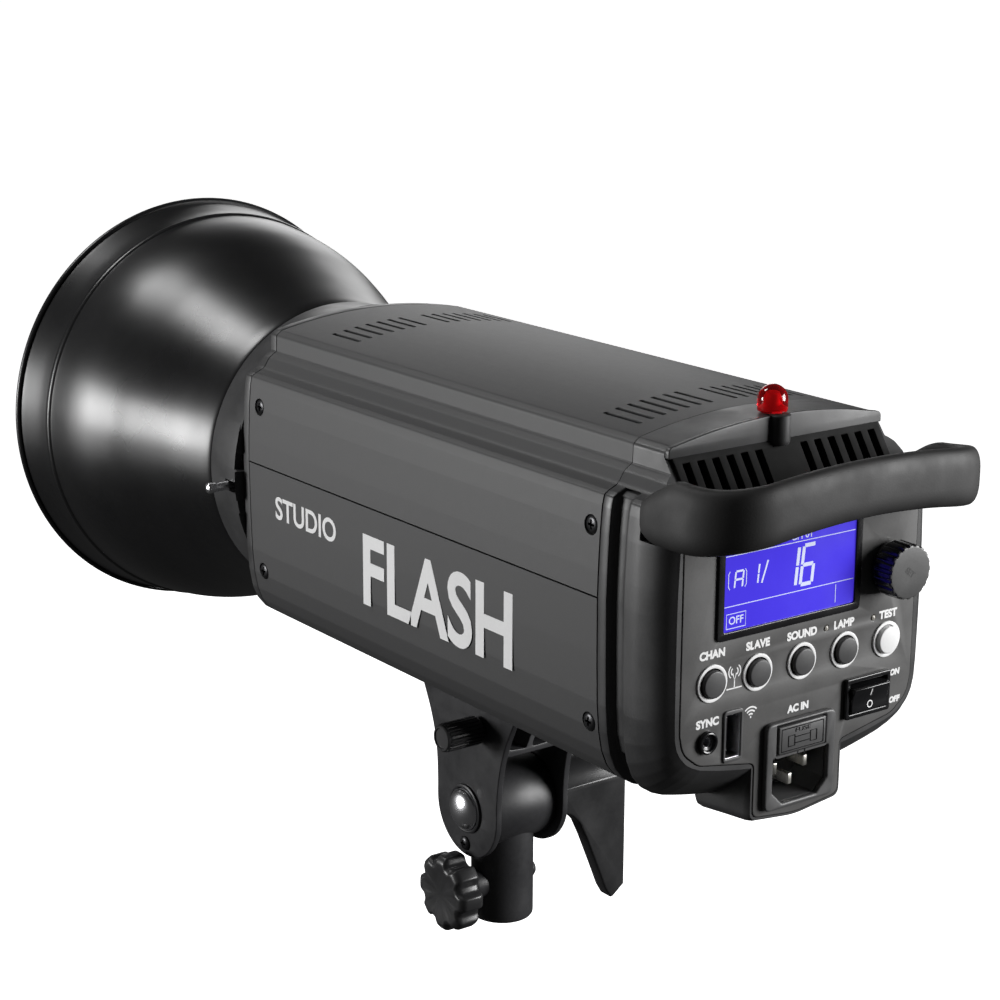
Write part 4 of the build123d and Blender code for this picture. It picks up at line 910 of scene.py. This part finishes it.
def digit(text, x, z, w, h, thick, lean_=0.1):
    """Seven-segment strokes; x grows to the viewer's right, which is -X."""
    lines = []
    for s in DIGITS[text]:
        (a, b), (c_, d) = SEG[s]
        p = Vector((a * w, b * h / 2))
        q = Vector((c_ * w, d * h / 2))
        t = (q - p).normalized() * thick * 0.2
        p, q = p + t, q - t
        lines.append([(x - (p.x + p.y * lean_), z + p.y), (x - (q.x + q.y * lean_), z + q.y)])
    return lines


glass = (0, P + 0.3, 0)
lcd = dict(origin=glass, axis=FACE, raise_=0.06, slot="lcd_blue", look="lcd_light")
strokes("lcd_digits", digit("1", 9.6, L + 27.2, 5.2, 13.4, 1.3) + digit("6", 2.2, L + 27.2, 5.2, 13.4, 1.3),
        1.35, **lcd)
strokes("lcd_small", digit("A", 31.6, L + 31.2, 3.4, 5.6, 0.7) + digit("1", 24.0, L + 31.2, 2.6, 6.6, 0.7) +
        [[(19.6, L + 31.0), (17.0, L + 38.4)]], 0.7, **lcd)
strokes("lcd_lines", [[(35.6, L + 25.2), (-22.6, L + 25.2)], [(35.6, L + 42.4), (-22.6, L + 42.4)],
                      [(-14.4, L + 24.4), (-14.4, L + 18.0)],
                      rect_line(34.6, 26.2, L + 17.6, L + 22.6),
                      [(33.6, L + 31.0), (34.2, L + 32), (34.2, L + 36.2), (33.6, L + 37.2)],
                      [(27.0, L + 31.0), (26.4, L + 32), (26.4, L + 36.2), (27.0, L + 37.2)]], 0.28, **lcd)
for name, text, x, z in (("lcd_word", "OFF", 30.4, 20.1), ("lcd_top_row", "CH 01", 2.0, 44.4)):
    words(name, text, 2.6, (x, P + 0.3, L + z), "y", 0.06, slot="lcd_blue", look="lcd_light", bold=0.05)

# ---- side graphics: generic words
SIDE_WORDS = (("side_word_small", "STUDIO", 9.0, (62.05, -218, 9.5), 0.25, 1.0),
              ("side_word", "FLASH", 27.0, (62.0, -128, -1.5), 0.9, 0.92))
for s, hand in ((1, "right"), (-1, "left")):
    for name, text, size, (x, y, z), bold, wide in SIDE_WORDS:
        words("%s_%s" % (name, hand), text, size, (s * x, P + y, L + z), OUTWARD[s], 0.1,
              slot="charcoal_powder_coat", look="print_white", bold=bold, stretch=wide)

# ---- stand bracket and tilting yoke
PIVOT, KNOB = 50, 16             # heights of the tilt pivot and of the star knob
UMBRELLA = (9.5, 87)             # Y and Z of the umbrella screw
tube = lathe("tube", (0, 0, 0), "z", [(30, 0), (30, 8.1), (0.8, 8.1), (0.25, 8.4), (0, 9.0), (0, 11.6),
                                      (0.3, 12.3), (0.9, 12.7), (1.6, 12.8), (40, 12.8), (40, 0)], 128)
barrel = lathe("barrel", (0, 0, PIVOT), "x", [(-14.9, 0), (-14.9, 15.9), (-14.6, 16.6), (-13.9, 17.0),
        (13.9, 17.0),
                                           (14.6, 16.6), (14.9, 15.9), (14.9, 0)], 128)
collar = lathe("collar", (8, 0, KNOB), "x", [(0, 0), (0, 6.5), (7.4, 6.5), (8.3, 6.3), (8.8, 5.7),
        (9.0, 4.8), (9.0, 0)], 72)
cut(tube, [barrel], "UNION")
cut(tube, [collar], "UNION")
for x0, x1, r, z in ((0, 18, 3.05, KNOB), (-14, 0, 1.6, KNOB), (-15, 15, 4.05, PIVOT)):
    cut(tube, [lathe("hole", (x0, 0, z), "x", [(0, r), (x1 - x0, r)], 48)])
piece(tube, "stand", "bracket_black", "stand_bracket")
cap = [(-3.2, 0), (-3.25, 0.9), (-3.0, 1.9), (-2.3, 3.0), (-1.2, 3.8), (-0.3, 4.1), (0, 4.0), (0, 1.55),
       (4.2, 1.55), (4.2, 0)]
piece(lathe("socket_screw", (-12.85, 0, KNOB), "x", cap, 48), "stand", "bracket_black", "socket_screw")
thread = [(9.7, 0), (9.7, 2.6)]
while thread[-1][0] < 17.4:
    a = thread[-1][0]
    thread += [(a + 0.31, 2.96), (a + 0.47, 2.96), (a + 0.94, 2.6)]
piece(lathe("knob_stud", (0, 0, KNOB), "x", thread + [(18.0, 2.96), (25.8, 2.96), (25.8, 0)], 64),
      "stand_knob", "chrome", "knob_stud")


def lobes(t, a):
    if a < 20.35:
        return 1.0
    c = min(1.0, (0.5 + 0.5 * cos(8 * t)) * 1.35)
    return 0.845 + 0.155 * c * c * (3 - 2 * c)


knob = [(18.2, 0), (18.2, 4.6), (18.6, 5.2), (20.3, 5.2), (20.4, 6.0), (20.4, 14.3), (20.7, 15.3),
        (21.5, 15.9), (22.5, 16.1), (28.6, 16.1), (29.9, 15.6), (31.0, 14.3), (31.35, 13.4), (31.4, 12.6),
        (31.1, 10.4), (31.1, 0)]
piece(lathe("stand_knob", (0, 0, KNOB), "x", knob, 320, lobes), "stand_knob",
      "knob_black", "stand_knob")

edge_r = flow([(38, 106.4), (34.4, 100.6), (30.4, 92.8), (26.6, 84.8), (23.6, 76.4), (21.6, 67.4),
               (20.6, 58), (20.5, 51)], 5)
edge_l = flow([(-37, 106.4), (-33.2, 100.6), (-29.2, 92.8), (-25.4, 84.8), (-22.6, 76.4), (-21.0, 67.4),
               (-20.5, 58), (-20.5, 51)], 5)
foot = [(20.5 * cos(radians(-5 * k)), PIVOT + 20.5 * sin(radians(-5 * k))) for k in range(1, 36)]
cheek = edge_r + foot + edge_l[::-1]
yoke_holes = [circle(x, y, 2.05, 24) for x, y in ((12, -26), (-12, -26), (12, 28), (-12, 28))]
parts = [slab("cheek", cheek, [circle(0, PIVOT, 4.05), circle(*UMBRELLA, 3.05),
        circle(-0.5, 34.8, 1.6, 24)], (18.0, 0, 0), SIDE,
              2.8, 0.45),
         slab("cheek", cheek, [circle(0, PIVOT, 4.05)], (-15.2, 0, 0), SIDE, 2.8, 0.45),
         slab("bridge", box2(-18, 18, -37, 38, 0.6), yoke_holes, (0, 0, 106.5), "z", 2.6, 0.5)]
piece(merge("tilt_yoke", parts), "head", "bracket_black", "tilt_yoke")
bolt = [(-48, 0), (-48, 3.98), (18.05, 3.98), (18.05, 8.6), (18.5, 8.8), (19.1, 8.6)] + [
    (18.9 + 4.3 * sin(t), 8.65 * cos(t)) for t in (radians(6 * k) for k in range(1, 15))] + [(23.2, 0)]
piece(lathe("pivot_bolt", (0, 0, PIVOT), "x", bolt, 128), "head", "chrome", "pivot_bolt")
piece(lathe("pivot_ring", (0, 0, PIVOT), "x", [(18.02, 8.95), (19.0, 9.0), (19.3, 9.5), (19.0, 10.1),
        (18.02, 10.3)], 96,
            closed=True), "head", "bracket_black")
o = screw("cheek_screw", (18.0, -0.5, 34.8), "x", 3.0,
          [(-2.6, 0), (-2.6, 1.55), (0, 1.55), (0.02, 3.0), (0.6, 2.9), (1.1, 2.3), (1.35, 1.3), (1.4, 0)],
          0.6)
piece(o, "head", "screw_black", "cheek_screw")
web = rounded([(15.1, 103.8, 0.2), (15.1, 78.4, 2.2), (12.6, 77.6, 2), (-12.6, 77.6, 2), (-15.1, 78.4, 2.2),
               (-15.1, 103.8, 0.2)])
gap_r = rounded([(13.0, 101.6, 1.5), (13.0, 80.6, 1.6), (4.6, 79.9, 1.2), (-5.0, 101.6, 1.2)])
gap_l = rounded([(1.8, 79.9, 1.2), (-13.0, 80.6, 1.6), (-13.0, 101.6, 1.5), (-7.8, 101.6, 1.2)])
holder = slab("umbrella_holder", web, [gap_r, gap_l], (0, 22, 0), FACE, 46, 0.4)
cut(holder, [lathe("hole", (12, *UMBRELLA), "x", [(0, 3.05), (4, 3.05)], 40)])
piece(holder, "head", "bracket_black", "umbrella_holder")


def knurl(t, a):
    if not 20.3 < a < 35.7:
        return 1.0
    return 1 - 0.075 * max(0.0, 1 - abs(((t * 22 / (2 * pi)) % 1) - 0.5) / 0.22)


screw_profile = [(14.7, 0), (14.7, 2.96), (19.3, 2.96), (19.3, 4.6), (19.6, 5.1), (20.2, 5.35),
                 (20.4, 5.75), (20.9, 5.8), (35.2, 5.8), (35.6, 5.7), (35.8, 5.5), (36.6, 5.35),
                 (37.0, 4.9), (37.0, 4.3), (36.5, 4.0), (36.45, 0)]
piece(lathe("umbrella_screw", (0, *UMBRELLA), "x", screw_profile, 352, knurl), "umbrella_screw",
      "knob_black", "umbrella_screw")

hub = lathe("hub", (0, 0, PIVOT), "x", [(-56, 0), (-56, 9.4), (-55.6, 10.3), (-54.7, 11), (-19.2, 11),
        (-18.7, 10.7), (-18.5, 10.0),
                                     (-18.5, 0)], 96)
arm_outline = rounded([(-56, 52, 0), (-56, 1.6, 0.8), (-49.2, -3.6, 1.6), (-45.8, 2, 6), (-42.0, 11.5, 20),
                       (-35.6, 27, 20), (-31.8, 35, 6), (-27.6, 39.4, 6), (-22, 41.5, 2), (-22, 52, 0)])
arm = slab("arm", arm_outline, [], (0, 11, 0), FACE, 7, 0.9)
cut(hub, [arm], "UNION")
cut(hub, [lathe("bore", (-48.4, 0, PIVOT), "x", [(0, 4.05), (31, 4.05)], 48)])
piece(hub, "tilt_lever", "knob_black", "tilt_lever")

# ---- stage and light
def sheet(name, size, height, mat):
    bm = bmesh.new()
    bmesh.ops.create_grid(bm, x_segments=2, y_segments=2, size=size)
    me = bpy.data.meshes.new(name)
    bm.to_mesh(me)
    bm.free()
    o = link(name, me)
    o.location.z = height
    me.materials.append(mat)
    return o


floor = sheet("floor", 80, -0.30, material("floor_white", (0.9, 0.9, 0.9), 0.9, mottle=0.005, bump=0.0,
                                           Emission_Color=(1, 1, 1, 1), Emission_Strength=1.0))
# An evenly lit white sweep that throws no light back up.
floor.visible_diffuse = floor.visible_glossy = False
floor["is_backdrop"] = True

world = bpy.data.worlds.new("studio")
bpy.context.scene.world = world
world.use_nodes = True
world.node_tree.nodes["Background"].inputs["Color"].default_value = (1, 1, 1, 1)
world.node_tree.nodes["Background"].inputs["Strength"].default_value = 0.032


def softbox(name, loc, target, width, height, power):
    d = bpy.data.lights.new(name, "AREA")
    d.shape, d.size, d.size_y, d.energy = "RECTANGLE", width, height, power
    o = bpy.data.objects.new(name, d)
    bpy.context.scene.collection.objects.link(o)
    o.location = loc
    o.rotation_euler = (Vector(target) - Vector(loc)).to_track_quat("-Z", "Y").to_euler()
    return o


softbox("side_box", (1.34, -0.86, 0.24), (0, 0, 0.17), 0.5, 0.4, 15)
softbox("low_box", (1.34, -0.98, -0.08), (0, -0.18, 0.17), 0.36, 0.36, 1.8)
softbox("top_box", (0.46, -0.80, 1.38), (0, -0.15, 0.17), 0.42, 0.42, 7.5)
softbox("back_box", (-0.95, -1.45, 0.62), (0, 0, 0.2), 0.9, 0.6, 4.0)
softbox("rear_box", (-1.3, 1.2, 0.45), (0, 0.15, 0.17), 0.9, 0.9, 44)

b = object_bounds()
